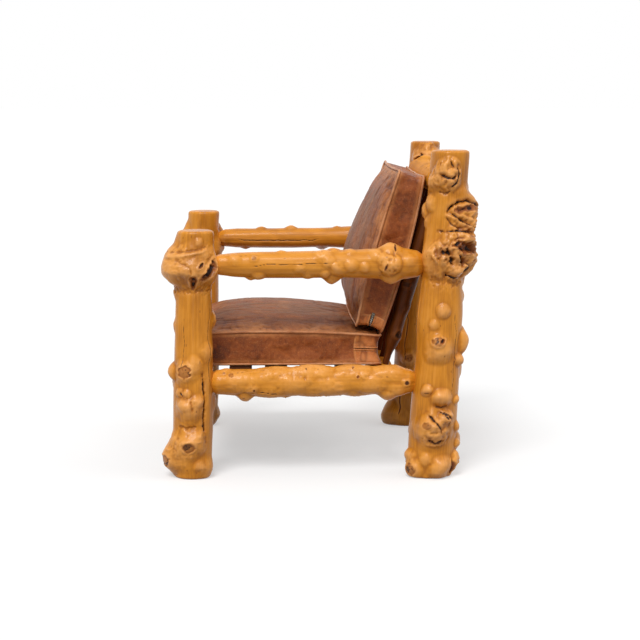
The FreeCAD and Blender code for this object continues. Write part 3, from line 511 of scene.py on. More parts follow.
# %% [markdown]
# A grid becomes a mesh: rings along the log, closed round it, with a cap of shrinking rings on each
# end, so that a sawn end has a softened edge. What the finish needs to know, such as where a knot
# lies, goes with each vertex as an attribute. Hollows and crests are found by comparing the height
# with a blurred copy of itself. The finish paints hollows darker as shade, and crests paler, partly
# as wear and partly as highlight.

# %% From grid to mesh
CAP_SHARES = (0.86, 0.68, 0.48, 0.26)
NEAR_BLUR = 0.0035
WIDE_BLUR = 0.011
NEAR_STEP = 0.0007
WIDE_STEP = 0.0045
GRAIN_LIFT = 1.6
THINNEST_SHARE = 0.05


def blurred(grid, rings, sides):
    """The grid averaged with its neighbours: a bell curve, wrapped round and mirrored at the ends."""
    tall = np.concatenate([grid[::-1], grid, grid[::-1]])
    down = np.fft.fftfreq(tall.shape[0])[:, None]
    round_it = np.fft.rfftfreq(tall.shape[1])[None, :]
    kept = np.exp(-2 * (math.pi * down * rings) ** 2 - 2 * (math.pi * round_it * sides) ** 2)
    return np.fft.irfft2(np.fft.rfft2(tall) * kept, s=tall.shape)[grid.shape[0]:-grid.shape[0]]


def mesh_piece(name, points, faces, attributes=None, smooth=True):
    """A mesh object from points and from groups of faces, each group with one number of corners."""
    mesh = bpy.data.meshes.new(name)
    mesh.vertices.add(len(points))
    mesh.vertices.foreach_set("co", np.asarray(points, np.float32).ravel())
    corners = np.concatenate([np.asarray(group, np.int32).ravel() for group in faces])
    counts = np.concatenate([np.full(len(group), np.asarray(group).shape[1], np.int32) for group in faces])
    mesh.loops.add(len(corners))
    mesh.loops.foreach_set("vertex_index", corners)
    mesh.polygons.add(len(counts))
    mesh.polygons.foreach_set("loop_start", np.concatenate([[0], np.cumsum(counts)[:-1]]).astype(np.int32))
    mesh.update(calc_edges=True)
    mesh.polygons.foreach_set("use_smooth", np.full(len(counts), smooth))
    for key, values in (attributes or {}).items():
        kind = "FLOAT" if np.ndim(values) == 1 else "FLOAT_VECTOR"
        field = "value" if kind == "FLOAT" else "vector"
        layer = mesh.attributes.new(key, kind, "POINT")
        layer.data.foreach_set(field, np.asarray(values, np.float32).ravel())
    mesh.validate()
    return in_scene(name, mesh)


def vectors_of(items, field="co"):
    """A vector of every vertex as rows of three."""
    values = np.empty(len(items) * 3)
    items.foreach_get(field, values)
    return values.reshape(-1, 3)


def taken_away(piece):
    """Removes a piece that was only needed on the way."""
    mesh = piece.data
    bpy.data.objects.remove(piece)
    bpy.data.meshes.remove(mesh)


def tube_faces(rings, sides):
    """Quads between neighbouring rings, closed round the tube."""
    ring = np.arange(rings - 1)[:, None] * sides
    side = np.arange(sides)[None, :]
    beside = (side + 1) % sides
    quads = [ring + side, ring + beside, ring + sides + beside, ring + sides + side]
    return np.stack(quads, -1).reshape(-1, 4)


def fan_faces(ring_start, sides, pole, outward):
    """Triangles that close a ring onto one middle point."""
    side = np.arange(sides)
    beside = (side + 1) % sides
    pole = np.full(sides, pole)
    order = [pole, ring_start + side, ring_start + beside]
    return np.stack(order if outward else [order[0], order[2], order[1]], -1)


def log_piece(name, start, axes, length, diameter, girth_table, carve, rings, sides, seed,
              sway, edge, tone):
    """A log: rings of points round an axis that wanders, at a radius of girth plus height."""
    lengthways, first, second = [np.array(axis, float) for axis in axes]
    along = np.linspace(0, 1, rings)
    grid_along = np.repeat(along[:, None], sides, 1)
    grid_turn = np.repeat(np.arange(sides)[None, :] / sides, rings, 0)
    skin = Skin(length, diameter, grid_along, grid_turn, seed)
    carve(skin)
    height = skin.height()
    radius = ease_table(grid_along, girth_table) * diameter / 2 + height
    from_rim = np.minimum(grid_along, 1 - grid_along) * length / edge
    fade = edge * (1 - np.sqrt(np.clip(1 - np.clip(1 - from_rim, 0, 1) ** 2, 0, 1)))
    radius = np.maximum(radius - fade, diameter * THINNEST_SHARE)

    near, wide = [blurred(height, reach / length * rings, reach / (math.pi * diameter) * sides)
                  for reach in (NEAR_BLUR, WIDE_BLUR)]
    shape = (height - near) / NEAR_STEP + (height - wide) / WIDE_STEP

    wander = sway * diameter * np.sin(np.pi * along)
    middle = (np.array(start) + np.outer(along * length, lengthways)
              + np.outer(wander * np.sin(math.tau * along), first)
              + np.outer(wander * np.cos(np.pi * along), second))
    angle = grid_turn * math.tau
    outward = np.cos(angle)[..., None] * first + np.sin(angle)[..., None] * second
    walls = middle[:, None, :] + outward * radius[..., None]

    foot_cap = [middle[0] + (walls[0] - middle[0]) * share for share in CAP_SHARES[::-1]]
    head_cap = [middle[-1] + (walls[-1] - middle[-1]) * share for share in CAP_SHARES]
    points = np.concatenate([*foot_cap, walls.reshape(-1, 3), *head_cap, middle[:1], middle[-1:]])
    all_rings = rings + 2 * len(CAP_SHARES)
    faces = [
        tube_faces(all_rings, sides),
        fan_faces(0, sides, all_rings * sides, False),
        fan_faces((all_rings - 1) * sides, sides, all_rings * sides + 1, True),
    ]

    grain = skin.place.copy()
    grain[..., 2] += GRAIN_LIFT * blurred(height, 3, 3)

    def padded_out(grid, cap_value):
        """The grid's values with the given one all over both caps."""
        cap = np.full((len(CAP_SHARES), sides), cap_value)
        flat = np.concatenate([cap, grid, cap]).ravel()
        return np.concatenate([flat, [cap_value, cap_value]])

    cap_rings = np.stack([grain[-1] * np.array([share, share, 1]) for share in CAP_SHARES])
    foot_rings = np.stack([grain[0] * np.array([share, share, 1]) for share in CAP_SHARES[::-1]])
    grain_all = np.concatenate([foot_rings.reshape(-1, 3), grain.reshape(-1, 3), cap_rings.reshape(-1, 3),
                                [[0, 0, 0], [0, 0, length]]])
    attributes = {
        "grain": grain_all,
        # Knots and cracks, with painted shade in crevices, grooves and the deepest pits.
        "knot_and_crevice_shade": padded_out(np.clip(skin.knot_and_crevice_shade, 0, 1), 0),
        "crack_and_recess_shade": padded_out(np.clip(skin.crack_and_recess_shade, 0, 1), 0),
        # Convex and hollow places: paler as part wear and part painted highlight, darker as painted shade.
        "crest": padded_out(np.clip(shape, 0, 2), 0),
        "dip_shade": padded_out(np.clip(-shape, 0, 2), 0),
        "glow": padded_out(np.clip(skin.glow, 0, 1), 0),
        "sawn": padded_out(np.zeros_like(height), 1),
        "tone": np.full(len(points), tone),
    }
    return mesh_piece(name, points, faces, attributes)


def finished(piece, finish, slot, body, *replaced):
    """The piece with its finish, on its body, and in the place of the solids it stands for. The slot
    is not used.
    """
    piece.data.materials.append(finish)
    if replaced:
        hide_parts(*replaced)
    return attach(piece, body)


def refinished(name, finish):
    """A solid that stays as it is, with another finish."""
    materials = frame["nodes"][name].data.materials
    materials.clear()
    materials.append(finish)


# %% [markdown]
# Peeled pine under honey lacquer. The colour runs in long streaks along the grain, broad patches
# shift it, knots are red brown and cracks nearly black. Dips get painted shade, and so do the seams
# of gnarls, the valleys of furrows and the deepest pits. Crests are painted paler, partly as wear and
# partly as highlight, and burl tops paler still as painted highlight. A clear coat gives the small
# soft highlights.


# %% Lacquered pine
PINE_BUMP = 0.0006
COAT_IOR = 1.35
# shades: pale, honey, deep, blush, knot and crack; the last two also paint shade in crevices and pits
HONEY_SHADES = ((235, 161, 68), (213, 137, 36), (160, 92, 15), (240, 174, 104), (124, 58, 18), (40, 14, 5))
DARK_SHADES = ((128, 70, 22), (90, 44, 10), (52, 22, 4), (140, 82, 34), (32, 12, 3), (13, 5, 2))


def pine_parts(start):
    """The streaks and patches that colour, roughness and bump share."""
    grain = start.attribute("grain", "Vector")
    streaks = start.noise(start.stretched(grain, (1, 1, 0.045)), 210, 4, 0.65)
    fibres = start.noise(start.stretched(grain, (1, 1, 0.03)), 620, 2, 0.6)
    patches = start.noise(start.stretched(grain, (1, 1, 0.5)), 16, 3, 0.55, 0.4)
    return grain, streaks, fibres, patches


def pine_colour(shades):
    pale, honey, deep, blush, knot_and_crevice_shade, crack_and_recess_shade = [paint(*shade) for shade in shades]

    def colour(start):
        grain, streaks, fibres, patches = pine_parts(start)
        mixed = streaks * 0.33 + patches * 0.55 + fibres * 0.12 + (start.attribute("tone") - 0.5) * 0.3
        wood = mixed.ramp((0.30, deep), (0.50, honey), (0.72, pale))
        # Paler on crests, part wear and part painted highlight; paler still on burl tops, painted
        # highlight.
        rub_and_highlight = start.attribute("crest") * 0.16 + start.attribute("glow") * (0.10 + patches * 0.35)
        wood = wood.tinted(rub_and_highlight, blush)
        # Darker in dips: painted shade.
        wood = wood.tinted(start.attribute("dip_shade") * 0.36, deep)
        specks = start.cells(start.stretched(grain, (1, 1, 0.45)), 46)
        wood = wood.tinted(specks.between(0.10, 0.05) * 0.55, knot_and_crevice_shade)
        rings = start.node("ShaderNodeTexWave", {"Vector": grain, "Scale": 55.0, "Distortion": 1.5},
                           wave_type="RINGS", rings_direction="Z")
        wood = wood.tinted(start.attribute("sawn") * rings * 0.45, deep)
        # Knots and cracks; the same masks darken crevices, grooves and the deepest pits as painted shade.
        wood = wood.tinted(start.attribute("knot_and_crevice_shade") * (0.45 + patches * 0.7), knot_and_crevice_shade)
        return wood.tinted(start.attribute("crack_and_recess_shade").between(0.15, 0.85), crack_and_recess_shade)

    return colour


def pine_roughness(low, high):
    def roughness(start):
        _, streaks, _, patches = pine_parts(start)
        worn = start.attribute("crack_and_recess_shade") * 0.25 + start.attribute("knot_and_crevice_shade") * 0.08
        return low + (high - low) * (streaks * 0.5 + patches * 0.5) + worn

    return roughness


def pine_bump(start):
    _, streaks, fibres, _ = pine_parts(start)
    return streaks * 0.6 + fibres * 0.4


def pine(name, shades, roughness, coat, coat_roughness, gloss):
    """Pine in the given shades, with the lowest and highest roughness under a coat of lacquer."""
    return material(name, pine_colour(shades), pine_roughness(*roughness), pine_bump, PINE_BUMP,
                    Coat_Weight=coat, Coat_Roughness=coat_roughness, Coat_IOR=COAT_IOR,
                    Specular_IOR_Level=gloss)


lacquered_pine = pine("lacquered_pine", HONEY_SHADES, (0.34, 0.50), 0.30, 0.18, 0.20)
satin_pine = pine("satin_pine", HONEY_SHADES, (0.50, 0.66), 0.05, 0.30, 0.08)
dark_pine = pine("dark_stained_pine", DARK_SHADES, (0.40, 0.60), 0.12, 0.25, 0.12)
print("wood finishes", lacquered_pine.name, satin_pine.name, dark_pine.name)

# %% [markdown]
# The logs' own sizes, in metres, as the solids have them. The feet come from the frame's mounts
# and the heights from its nodes.

# %% Sizes of the frame
FRONT_POST = {"diameter": 0.100, "lean": 0.017}
REAR_POST = {"diameter": 0.116, "lean": 0.047}
RIGHT_POST_SHARES = {"front": 0.96, "rear": 0.90}
ARM_DIAMETER = 0.070
ARM_HEIGHT = 0.565
RIGHT_ARM_RISE = 0.008
RIGHT_ARM_SHARE = 0.88
SIDE_RAIL_DIAMETER = 0.070
SIDE_RAIL_HEIGHT = 0.2525
CROSS_RAIL_DIAMETER = 0.066
REAR_RAIL_SETBACK = 0.171
CREST_RAIL_DIAMETER = 0.074
SPINDLE_DIAMETER = 0.043
SPINDLE_PITCH = 0.114
SLAT_TOP = 0.284
SHOULDER_SHARE = 0.78
SWAY_SHARE = 0.03

mounts = {mount["name"]: mount["pos_m"] for mount in frame["record"]["mounts"]}
feet = {
    (row, side): np.array(mounts[f"foot_{row}_{side}"])
    for row in ("front", "rear") for side in ("left", "right")
}
POST_HALF_SPACING = feet["front", "left"][0]
heights = {row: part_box(f"{row}_post_left")[1].z for row in ("front", "rear")}
print("post heights", heights)


def post_axis(row, height):
    """Where a post's middle is in Y at a height."""
    post = FRONT_POST if row == "front" else REAR_POST
    return feet[row, "left"][1] + post["lean"] * height / heights[row]


# %% [markdown]
# Posts. The burls are listed by kind. Each has its share of the height, its share of a turn from
# the chair's left by the back, and its reach and its rise as shares of the post's thickness. A few
# go on with a stretch, a lean and a droop. The near posts follow the photograph closely: the front
# one wears a split collar under its top, the rear one a gnarled burl with a stub and an ear. The
# far posts' hidden sides have burls of the same kinds.

# %% Girths and burls of the posts
FRONT_POST_GIRTH = ((0.00, 0.93), (0.05, 1.02), (0.30, 1.05), (0.60, 1.00), (0.80, 0.97), (0.93, 0.95),
                    (0.98, 0.95), (1.00, 0.93))
REAR_POST_GIRTH = ((0.00, 1.00), (0.05, 1.05), (0.25, 1.07), (0.45, 1.02), (0.65, 0.95), (0.80, 0.89),
                   (0.98, 0.84), (1.00, 0.83))
FRONT_LEFT_BURLS = {
    "soft": (
        (0.835, 0.78, 0.66, 0.37, 0.95, 0, 0.32), (0.842, 0.045, 0.6, 0.24, 0.95, 0, 0.25),
        (0.83, 0.19, 0.44, 0.16, 1.0, 0, 0.3), (0.848, 0.93, 0.5, 0.22, 1.0, 0, 0.3),
        (0.852, 0.52, 0.7, 0.16, 0.8), (0.915, 0.78, 0.3, 0.07), (0.912, 0.13, 0.34, 0.07),
        (0.755, 0.765, 0.24, 0.07), (0.615, 0.76, 0.22, 0.05), (0.47, 0.02, 0.26, 0.07),
        (0.306, 0.945, 0.24, 0.13), (0.32, 0.032, 0.22, 0.13), (0.282, 0.965, 0.4, 0.15, 0.9, 0, 0.2),
        (0.145, 0.99, 0.4, 0.18, 1.0, -20), (0.175, 0.03, 0.24, 0.1),
        (0.078, 0.785, 0.46, 0.29, 1.0, 0, 0.15), (0.105, 0.88, 0.5, 0.14), (0.15, 0.835, 0.3, 0.12),
        (0.058, 0.073, 0.18, 0.07), (0.04, 0.16, 0.34, 0.09), (0.52, 0.14, 0.26, 0.06),
        (0.11, 0.55, 0.4, 0.16), (0.38, 0.62, 0.34, 0.13), (0.3, 0.33, 0.32, 0.11),
    ),
    "knob": (
        (0.955, 0.037, 0.15, 0.065), (0.934, 0.885, 0.13, 0.055), (0.436, 0.765, 0.26, 0.16),
        (0.356, 0.885, 0.14, 0.07), (0.352, 0.95, 0.15, 0.07), (0.56, 0.48, 0.26, 0.09),
    ),
    "eye": ((0.441, 0.936, 0.36, 0.12), (0.19, 0.45, 0.38, 0.15), (0.64, 0.3, 0.3, 0.11)),
}
FRONT_RIGHT_BURLS = {
    "soft": (
        (0.835, 0.68, 0.66, 0.3, 0.95, 0, 0.3), (0.83, 0.26, 0.44, 0.12), (0.845, 0.93, 0.56, 0.09),
        (0.93, 0.57, 0.22, 0.07), (0.46, 0.43, 0.36, 0.16), (0.4, 0.7, 0.28, 0.1), (0.17, 0.38, 0.38, 0.15),
        (0.1, 0.7, 0.48, 0.24), (0.05, 0.3, 0.34, 0.11), (0.11, 0.92, 0.36, 0.14),
    ),
    "gnarl": ((0.85, 0.46, 0.62, 0.34, 0.95, 0, 0.25),),
    "eye": ((0.6, 0.58, 0.3, 0.13), (0.28, 0.58, 0.42, 0.19), (0.2, 0.04, 0.32, 0.11)),
    "knob": (
        (0.43, 0.73, 0.24, 0.1), (0.33, 0.5, 0.22, 0.12), (0.14, 0.78, 0.24, 0.12),
        (0.69, 0.42, 0.22, 0.08),
    ),
}
REAR_LEFT_BURLS = {
    "gnarl": (
        (0.93, 0.975, 0.38, 0.14), (0.7, 0.11, 0.62, 0.27, 1.0, 0, 0.1), (0.765, 0.13, 0.42, 0.18),
        (0.7, 0.96, 0.3, 0.14), (0.66, 0.2, 0.34, 0.26), (0.192, 0.052, 0.19, 0.2),
        (0.132, 0.01, 0.26, 0.16), (0.045, 0.19, 0.24, 0.12), (0.62, 0.38, 0.4, 0.17),
    ),
    "soft": (
        (0.905, 0.87, 0.28, 0.15), (0.905, 0.02, 0.24, 0.1), (0.812, 0.205, 0.56, 0.27, 0.95),
        (0.785, 0.235, 0.38, 0.14), (0.675, 0.915, 0.48, 0.13, 0.95, 0, 0.1), (0.64, 0.07, 0.24, 0.24),
        (0.843, 0.83, 0.22, 0.09), (0.785, 0.78, 0.18, 0.05), (0.476, 0.948, 0.13, 0.05),
        (0.4, 0.985, 0.33, 0.15, 1.05, 0, 0.15), (0.424, 0.978, 0.17, 0.165), (0.252, 0.025, 0.22, 0.14),
        (0.158, 0.975, 0.46, 0.21), (0.172, 0.985, 0.2, 0.235), (0.034, 0.051, 0.27, 0.15),
        (0.062, 0.8, 0.22, 0.11), (0.06, 0.945, 0.18, 0.06), (0.48, 0.42, 0.3, 0.11),
        (0.2, 0.42, 0.32, 0.14), (0.14, 0.62, 0.3, 0.11), (0.73, 0.48, 0.34, 0.14),
    ),
    "knob": (
        (0.74, 0.119, 0.13, 0.34), (0.815, 0.745, 0.21, 0.12), (0.518, 0.011, 0.17, 0.08),
        (0.418, 0.225, 0.23, 0.19, 1.35), (0.368, 0.17, 0.17, 0.13), (0.277, 0.926, 0.14, 0.08),
        (0.243, 0.155, 0.13, 0.07), (0.156, 0.205, 0.14, 0.08), (0.098, 0.225, 0.14, 0.1),
        (0.4, 0.56, 0.24, 0.1), (0.55, 0.32, 0.2, 0.08),
    ),
    "eye": (
        (0.026, 0.85, 0.26, 0.14), (0.88, 0.36, 0.3, 0.12), (0.33, 0.36, 0.38, 0.16),
        (0.1, 0.34, 0.36, 0.16),
    ),
}
REAR_RIGHT_BURLS = {
    "gnarl": ((0.935, 0.015, 0.6, 0.34, 0.9), (0.71, 0.42, 0.6, 0.28), (0.17, 0.45, 0.46, 0.2)),
    "eye": (
        (0.905, 0.42, 0.4, 0.16), (0.55, 0.28, 0.28, 0.12), (0.45, 0.5, 0.44, 0.26),
        (0.247, 0.96, 0.24, 0.09), (0.05, 0.28, 0.32, 0.12),
    ),
    "soft": (
        (0.8, 0.31, 0.44, 0.22), (0.66, 0.48, 0.34, 0.2), (0.62, 0.56, 0.32, 0.12), (0.37, 0.36, 0.26, 0.1),
        (0.19, 0.98, 0.24, 0.08), (0.29, 0.56, 0.32, 0.13), (0.03, 0.77, 0.5, 0.3),
        (0.06, 0.52, 0.36, 0.13), (0.09, 0.06, 0.32, 0.11),
    ),
    "knob": (
        (0.42, 0.56, 0.26, 0.2), (0.42, 0.12, 0.24, 0.09), (0.84, 0.52, 0.24, 0.1), (0.29, 0.2, 0.24, 0.09),
    ),
}


# %% Carving of the posts
def front_left(skin):
    skin.burls(FRONT_LEFT_BURLS)
    skin.ridge([(0.900, 0.80), (0.906, 0.90), (0.912, 0.98), (0.930, 0.09)], 0.005, 0.0032)
    skin.furrow([(0.916, 0.74), (0.918, 0.86), (0.924, 0.98), (0.940, 0.10)], 0.0022, 0.0022, 0.35)
    skin.furrow([(0.768, 0.70), (0.764, 0.85), (0.768, 0.98), (0.762, 0.10), (0.770, 0.24)],
                0.0065, 0.0030, 0.10)
    skin.hollow(0.845, 0.110, 0.029, 0.0095, 34, 0.013)
    skin.hollow(0.800, 0.000, 0.017, 0.0075, 4, 0.011)
    skin.hollow(0.868, 0.045, 0.009, 0.004, 30, 0.005)
    skin.furrow([(0.885, 0.90), (0.860, 0.98), (0.835, 0.99), (0.810, 0.97)], 0.0016, 0.0020, 0.25)
    skin.eye(0.139, 0.977, 0.012)
    skin.eye(0.074, 0.800, 0.014)
    skin.furrow([(0.355, 0.905), (0.340, 0.925)], 0.0022, 0.004)
    skin.furrow([(0.330, 0.985), (0.305, 0.995), (0.285, 0.000)], 0.0025, 0.0025, 0.25)
    skin.furrow([(0.218, 0.86), (0.212, 0.95), (0.220, 0.04)], 0.004, 0.003, 0.3)
    skin.furrow([(0.430, 0.085), (0.340, 0.100), (0.250, 0.092), (0.155, 0.112)], 0.0020, 0.006, 0.9)
    skin.ridge([(0.430, 0.130), (0.300, 0.140), (0.160, 0.155)], 0.007, 0.0020)
    skin.check(0.30, 0.74, 0.16, 0.0009, 0.003)
    skin.check(0.45, 0.66, 0.93, 0.0006, 0.0012)


def front_right(skin):
    skin.burls(FRONT_RIGHT_BURLS)
    skin.furrow([(0.765, 0.40), (0.760, 0.60), (0.768, 0.80)], 0.0035, 0.0035, 0.45)
    skin.hollow(0.850, 0.480, 0.024, 0.010, 25, 0.012)
    skin.furrow([(0.880, 0.56), (0.850, 0.60), (0.810, 0.58)], 0.002, 0.004)
    skin.check(0.25, 0.60, 0.22, 0.0012, 0.003)
    skin.check(0.50, 0.78, 0.84, 0.0010, 0.003)


def rear_left(skin):
    skin.burls(REAR_LEFT_BURLS)
    rim = [(0.828, 0.985), (0.842, 0.010), (0.855, 0.060), (0.860, 0.130), (0.848, 0.200), (0.822, 0.250),
           (0.795, 0.270)]
    inner = [(along - 0.010, turn + 0.006) for along, turn in rim]
    skin.furrow(inner, 0.0024, 0.009)
    skin.ridge(rim, 0.0120, 0.0036)
    skin.hollow(0.826, 0.125, 0.010, 0.028, -10, 0.006)
    skin.ridge([(0.808, 0.985), (0.800, 0.040), (0.806, 0.100), (0.790, 0.170)], 0.0050, 0.0050)
    skin.ridge([(0.795, 0.050), (0.780, 0.110), (0.762, 0.190)], 0.0048, 0.0050)
    skin.furrow([(0.815, 0.020), (0.795, 0.080), (0.775, 0.150), (0.755, 0.210)], 0.0018, 0.0050)
    skin.furrow([(0.800, 0.990), (0.780, 0.030), (0.768, 0.080)], 0.0016, 0.0035, 0.7)
    skin.furrow([(0.760, 0.925), (0.758, 0.990), (0.762, 0.060), (0.754, 0.190)], 0.0016, 0.0050)
    skin.hollow(0.710, 0.135, 0.014, 0.026, 8, 0.020)
    skin.hollow(0.722, 0.060, 0.006, 0.010, -35, 0.008)
    skin.eye(0.743, 0.122, 0.005)
    skin.furrow([(0.716, 0.000), (0.700, 0.010), (0.682, 0.026), (0.664, 0.040)], 0.0034, 0.012)
    skin.furrow([(0.706, 0.975), (0.690, 0.985)], 0.0024, 0.006)
    skin.ridge([(0.700, 0.040), (0.680, 0.060), (0.660, 0.090)], 0.0045, 0.0055)
    skin.furrow([(0.668, 0.080), (0.664, 0.130), (0.648, 0.160), (0.628, 0.140), (0.618, 0.070),
                 (0.628, 0.010)], 0.0026, 0.009)
    skin.furrow([(0.690, 0.070), (0.668, 0.110)], 0.0020, 0.006)
    skin.furrow([(0.610, 0.880), (0.604, 0.960), (0.606, 0.060), (0.602, 0.160)], 0.0100, 0.0034, 0.04)
    skin.furrow([(0.974, 0.985), (0.960, 0.000), (0.950, 0.020)], 0.0012, 0.004)
    skin.furrow([(0.955, 0.040), (0.930, 0.060), (0.905, 0.045), (0.890, 0.000)], 0.0020, 0.005)
    skin.furrow([(0.930, 0.925), (0.922, 0.960), (0.918, 0.010), (0.924, 0.035)], 0.0020, 0.005)
    skin.furrow([(0.880, 0.900), (0.872, 0.960), (0.880, 0.010)], 0.003, 0.0035, 0.5)
    skin.eye(0.428, 0.976, 0.012)
    skin.hollow(0.428, 0.008, 0.007, 0.005, 40, 0.007)
    skin.furrow([(0.208, 0.935), (0.196, 0.965), (0.180, 0.000), (0.160, 0.022), (0.142, 0.030)],
                0.0022, 0.007)
    skin.furrow([(0.210, 0.020), (0.204, 0.060), (0.186, 0.085), (0.172, 0.070)], 0.0020, 0.006)
    skin.furrow([(0.200, 0.048), (0.190, 0.062)], 0.0018, 0.004)
    skin.furrow([(0.124, 0.960), (0.116, 0.000), (0.122, 0.050)], 0.0030, 0.006, 0.8)
    skin.eye(0.172, 0.950, 0.008)
    skin.hollow(0.030, 0.150, 0.016, 0.0060, -10, 0.010)
    skin.furrow([(0.228, 0.980), (0.224, 0.030), (0.230, 0.070)], 0.0024, 0.004, 0.6)
    skin.furrow([(0.268, 0.905), (0.266, 0.945)], 0.0018, 0.003, 0.6)
    skin.check(0.30, 0.64, 0.79, 0.0012, 0.004)
    skin.check(0.24, 0.52, 0.11, 0.0007, 0.0015)
    skin.check(0.05, 0.30, 0.50, 0.0012, 0.004)


def rear_right(skin):
    skin.burls(REAR_RIGHT_BURLS)
    skin.furrow([(0.965, 0.950), (0.945, 0.985), (0.920, 0.990), (0.900, 0.975)], 0.0026, 0.009)
    skin.hollow(0.940, 0.950, 0.010, 0.012, 20, 0.014)
    skin.hollow(0.918, 0.975, 0.008, 0.010, 0, 0.010)
    skin.furrow([(0.955, 0.030), (0.930, 0.045), (0.905, 0.020)], 0.0022, 0.007)
    skin.hollow(0.705, 0.440, 0.014, 0.018, 10, 0.014)
    skin.furrow([(0.760, 0.34), (0.740, 0.42), (0.752, 0.52)], 0.002, 0.006)
    skin.furrow([(0.670, 0.38), (0.650, 0.44), (0.656, 0.52)], 0.002, 0.006)
    skin.check(0.22, 0.60, 0.92, 0.0012, 0.004)
    skin.check(0.04, 0.16, 0.90, 0.0018, 0.005)
    skin.check(0.35, 0.70, 0.22, 0.0010, 0.003)


# %% Posts
POST_RINGS = 330
POST_SIDES = 256
POST_EDGE = 0.007


def post_piece(row, side, carve, seed, tone):
    """One of the four posts, leaning back by its own amount over its height."""
    front = row == "front"
    post = FRONT_POST if front else REAR_POST
    share = RIGHT_POST_SHARES[row] if side == "right" else 1.0
    height = heights[row]
    lengthways = (0, post["lean"] / height, 1)
    piece = log_piece(
        f"{row}_post_{side}_log", feet[row, side], (lengthways, (1, 0, 0), (0, 1, 0)), height,
        post["diameter"] * share, FRONT_POST_GIRTH if front else REAR_POST_GIRTH, carve,
        POST_RINGS, POST_SIDES, seed, SWAY_SHARE, POST_EDGE, tone,
    )
    return finished(piece, lacquered_pine, "lacquered_pine", "root", f"{row}_post_{side}")


posts = [
    post_piece("front", "left", front_left, 3, 0.42),
    post_piece("front", "right", front_right, 14, 0.40),
    post_piece("rear", "left", rear_left, 25, 0.42),
    post_piece("rear", "right", rear_right, 36, 0.38),
]
print("posts", [len(piece.data.polygons) for piece in posts])

# %% [markdown]
# Rails. The arms and side rails run from post to post, with ends that round in to their tenons.
# Their turn starts at the chair's left and goes by the underside. The rails across the chair start
# their turn below and go by the back.

# %% Girths and burls of the rails
ARM_GIRTH = ((0.00, 0.55), (0.05, 0.84), (0.12, 0.90), (0.50, 1.00), (0.90, 1.10), (0.95, 1.00),
             (1.00, 0.60))
SIDE_RAIL_GIRTH = ((0.00, 0.60), (0.05, 0.95), (0.15, 1.04), (0.50, 1.05), (0.88, 1.04), (0.95, 0.90),
                   (1.00, 0.55))
CROSS_RAIL_GIRTH = ((0.00, 0.60), (0.06, 0.92), (0.15, 1.00), (0.85, 1.00), (0.94, 0.92), (1.00, 0.60))
ARM_LEFT_BURLS = {
    "soft": (
        (0.526, 0.86, 0.34, 0.1), (0.653, 0.01, 0.24, 0.08), (0.709, 0.04, 0.2, 0.07),
        (0.53, 0.13, 0.22, 0.08), (0.564, 0.255, 0.38, 0.24), (0.571, 0.755, 0.26, 0.09),
        (0.548, 0.96, 0.26, 0.08), (0.59, 0.06, 0.3, 0.08), (0.838, 0.77, 0.46, 0.22),
        (0.842, 0.24, 0.44, 0.19), (0.8, 0.93, 0.26, 0.13), (0.222, 0.17, 0.26, 0.11),
        (0.19, 0.235, 0.2, 0.1), (0.36, 0.52, 0.3, 0.1), (0.768, 0.87, 0.3, 0.09), (0.33, 0.78, 0.2, 0.05),
        (0.65, 0.8, 0.24, 0.07), (0.45, 0.18, 0.22, 0.06), (0.11, 0.9, 0.3, 0.06), (0.92, 0.96, 0.28, 0.07),
        (0.5, 0.85, 0.2, 0.05), (0.41, 0.03, 0.24, 0.05),
    ),
    "knob": ((0.559, 0.225, 0.2, 0.1), (0.575, 0.02, 0.18, 0.09)),
    "gnarl": ((0.835, 0.0, 0.42, 0.15),),
    "eye": ((0.204, 0.903, 0.17, 0.06), (0.7, 0.46, 0.34, 0.12)),
}
ARM_RIGHT_BURLS = {
    "soft": (
        (0.24, 0.76, 0.26, 0.09), (0.39, 0.74, 0.3, 0.13), (0.56, 0.3, 0.36, 0.16), (0.85, 0.7, 0.4, 0.16),
        (0.64, 0.76, 0.2, 0.06), (0.15, 0.25, 0.26, 0.08),
    ),
    "gnarl": ((0.7, 0.5, 0.38, 0.16),),
    "eye": ((0.3, 0.48, 0.3, 0.12),),
}
SIDE_LEFT_BURLS = {
    "soft": (
        (0.33, 0.77, 0.55, 0.11, 1.7), (0.49, 0.78, 0.6, 0.16, 1.6), (0.69, 0.775, 0.55, 0.14, 1.6),
        (0.86, 0.8, 0.55, 0.13, 1.4), (0.15, 0.95, 0.55, 0.09, 1.3), (0.4, 0.02, 0.5, 0.08, 1.4),
        (0.58, 0.1, 0.55, 0.09, 1.4), (0.77, 0.03, 0.5, 0.08, 1.3), (0.3, 0.2, 0.5, 0.09, 1.4),
        (0.5, 0.24, 0.45, 0.07, 1.3), (0.7, 0.25, 0.45, 0.08, 1.3), (0.9, 0.14, 0.45, 0.12),
        (0.178, 0.225, 0.34, 0.22), (0.375, 0.24, 0.26, 0.08), (0.85, 0.23, 0.42, 0.24),
        (0.62, 0.04, 0.26, 0.06), (0.48, 0.96, 0.22, 0.05), (0.28, 0.88, 0.24, 0.06),
        (0.74, 0.9, 0.22, 0.06), (0.21, 0.05, 0.26, 0.07), (0.54, 0.2, 0.22, 0.05),
        (0.43, 0.79, 0.22, 0.05), (0.08, 0.78, 0.28, 0.06), (0.7, 0.22, 0.26, 0.05),
    ),
    "eye": ((0.94, 0.0, 0.22, 0.06), (0.11, 0.89, 0.2, 0.05)),
}
SIDE_RIGHT_BURLS = {
    "eye": ((0.14, 0.3, 0.38, 0.16), (0.88, 0.45, 0.38, 0.15)),
    "soft": ((0.42, 0.48, 0.3, 0.1), (0.66, 0.27, 0.36, 0.18), (0.3, 0.2, 0.26, 0.09)),
}
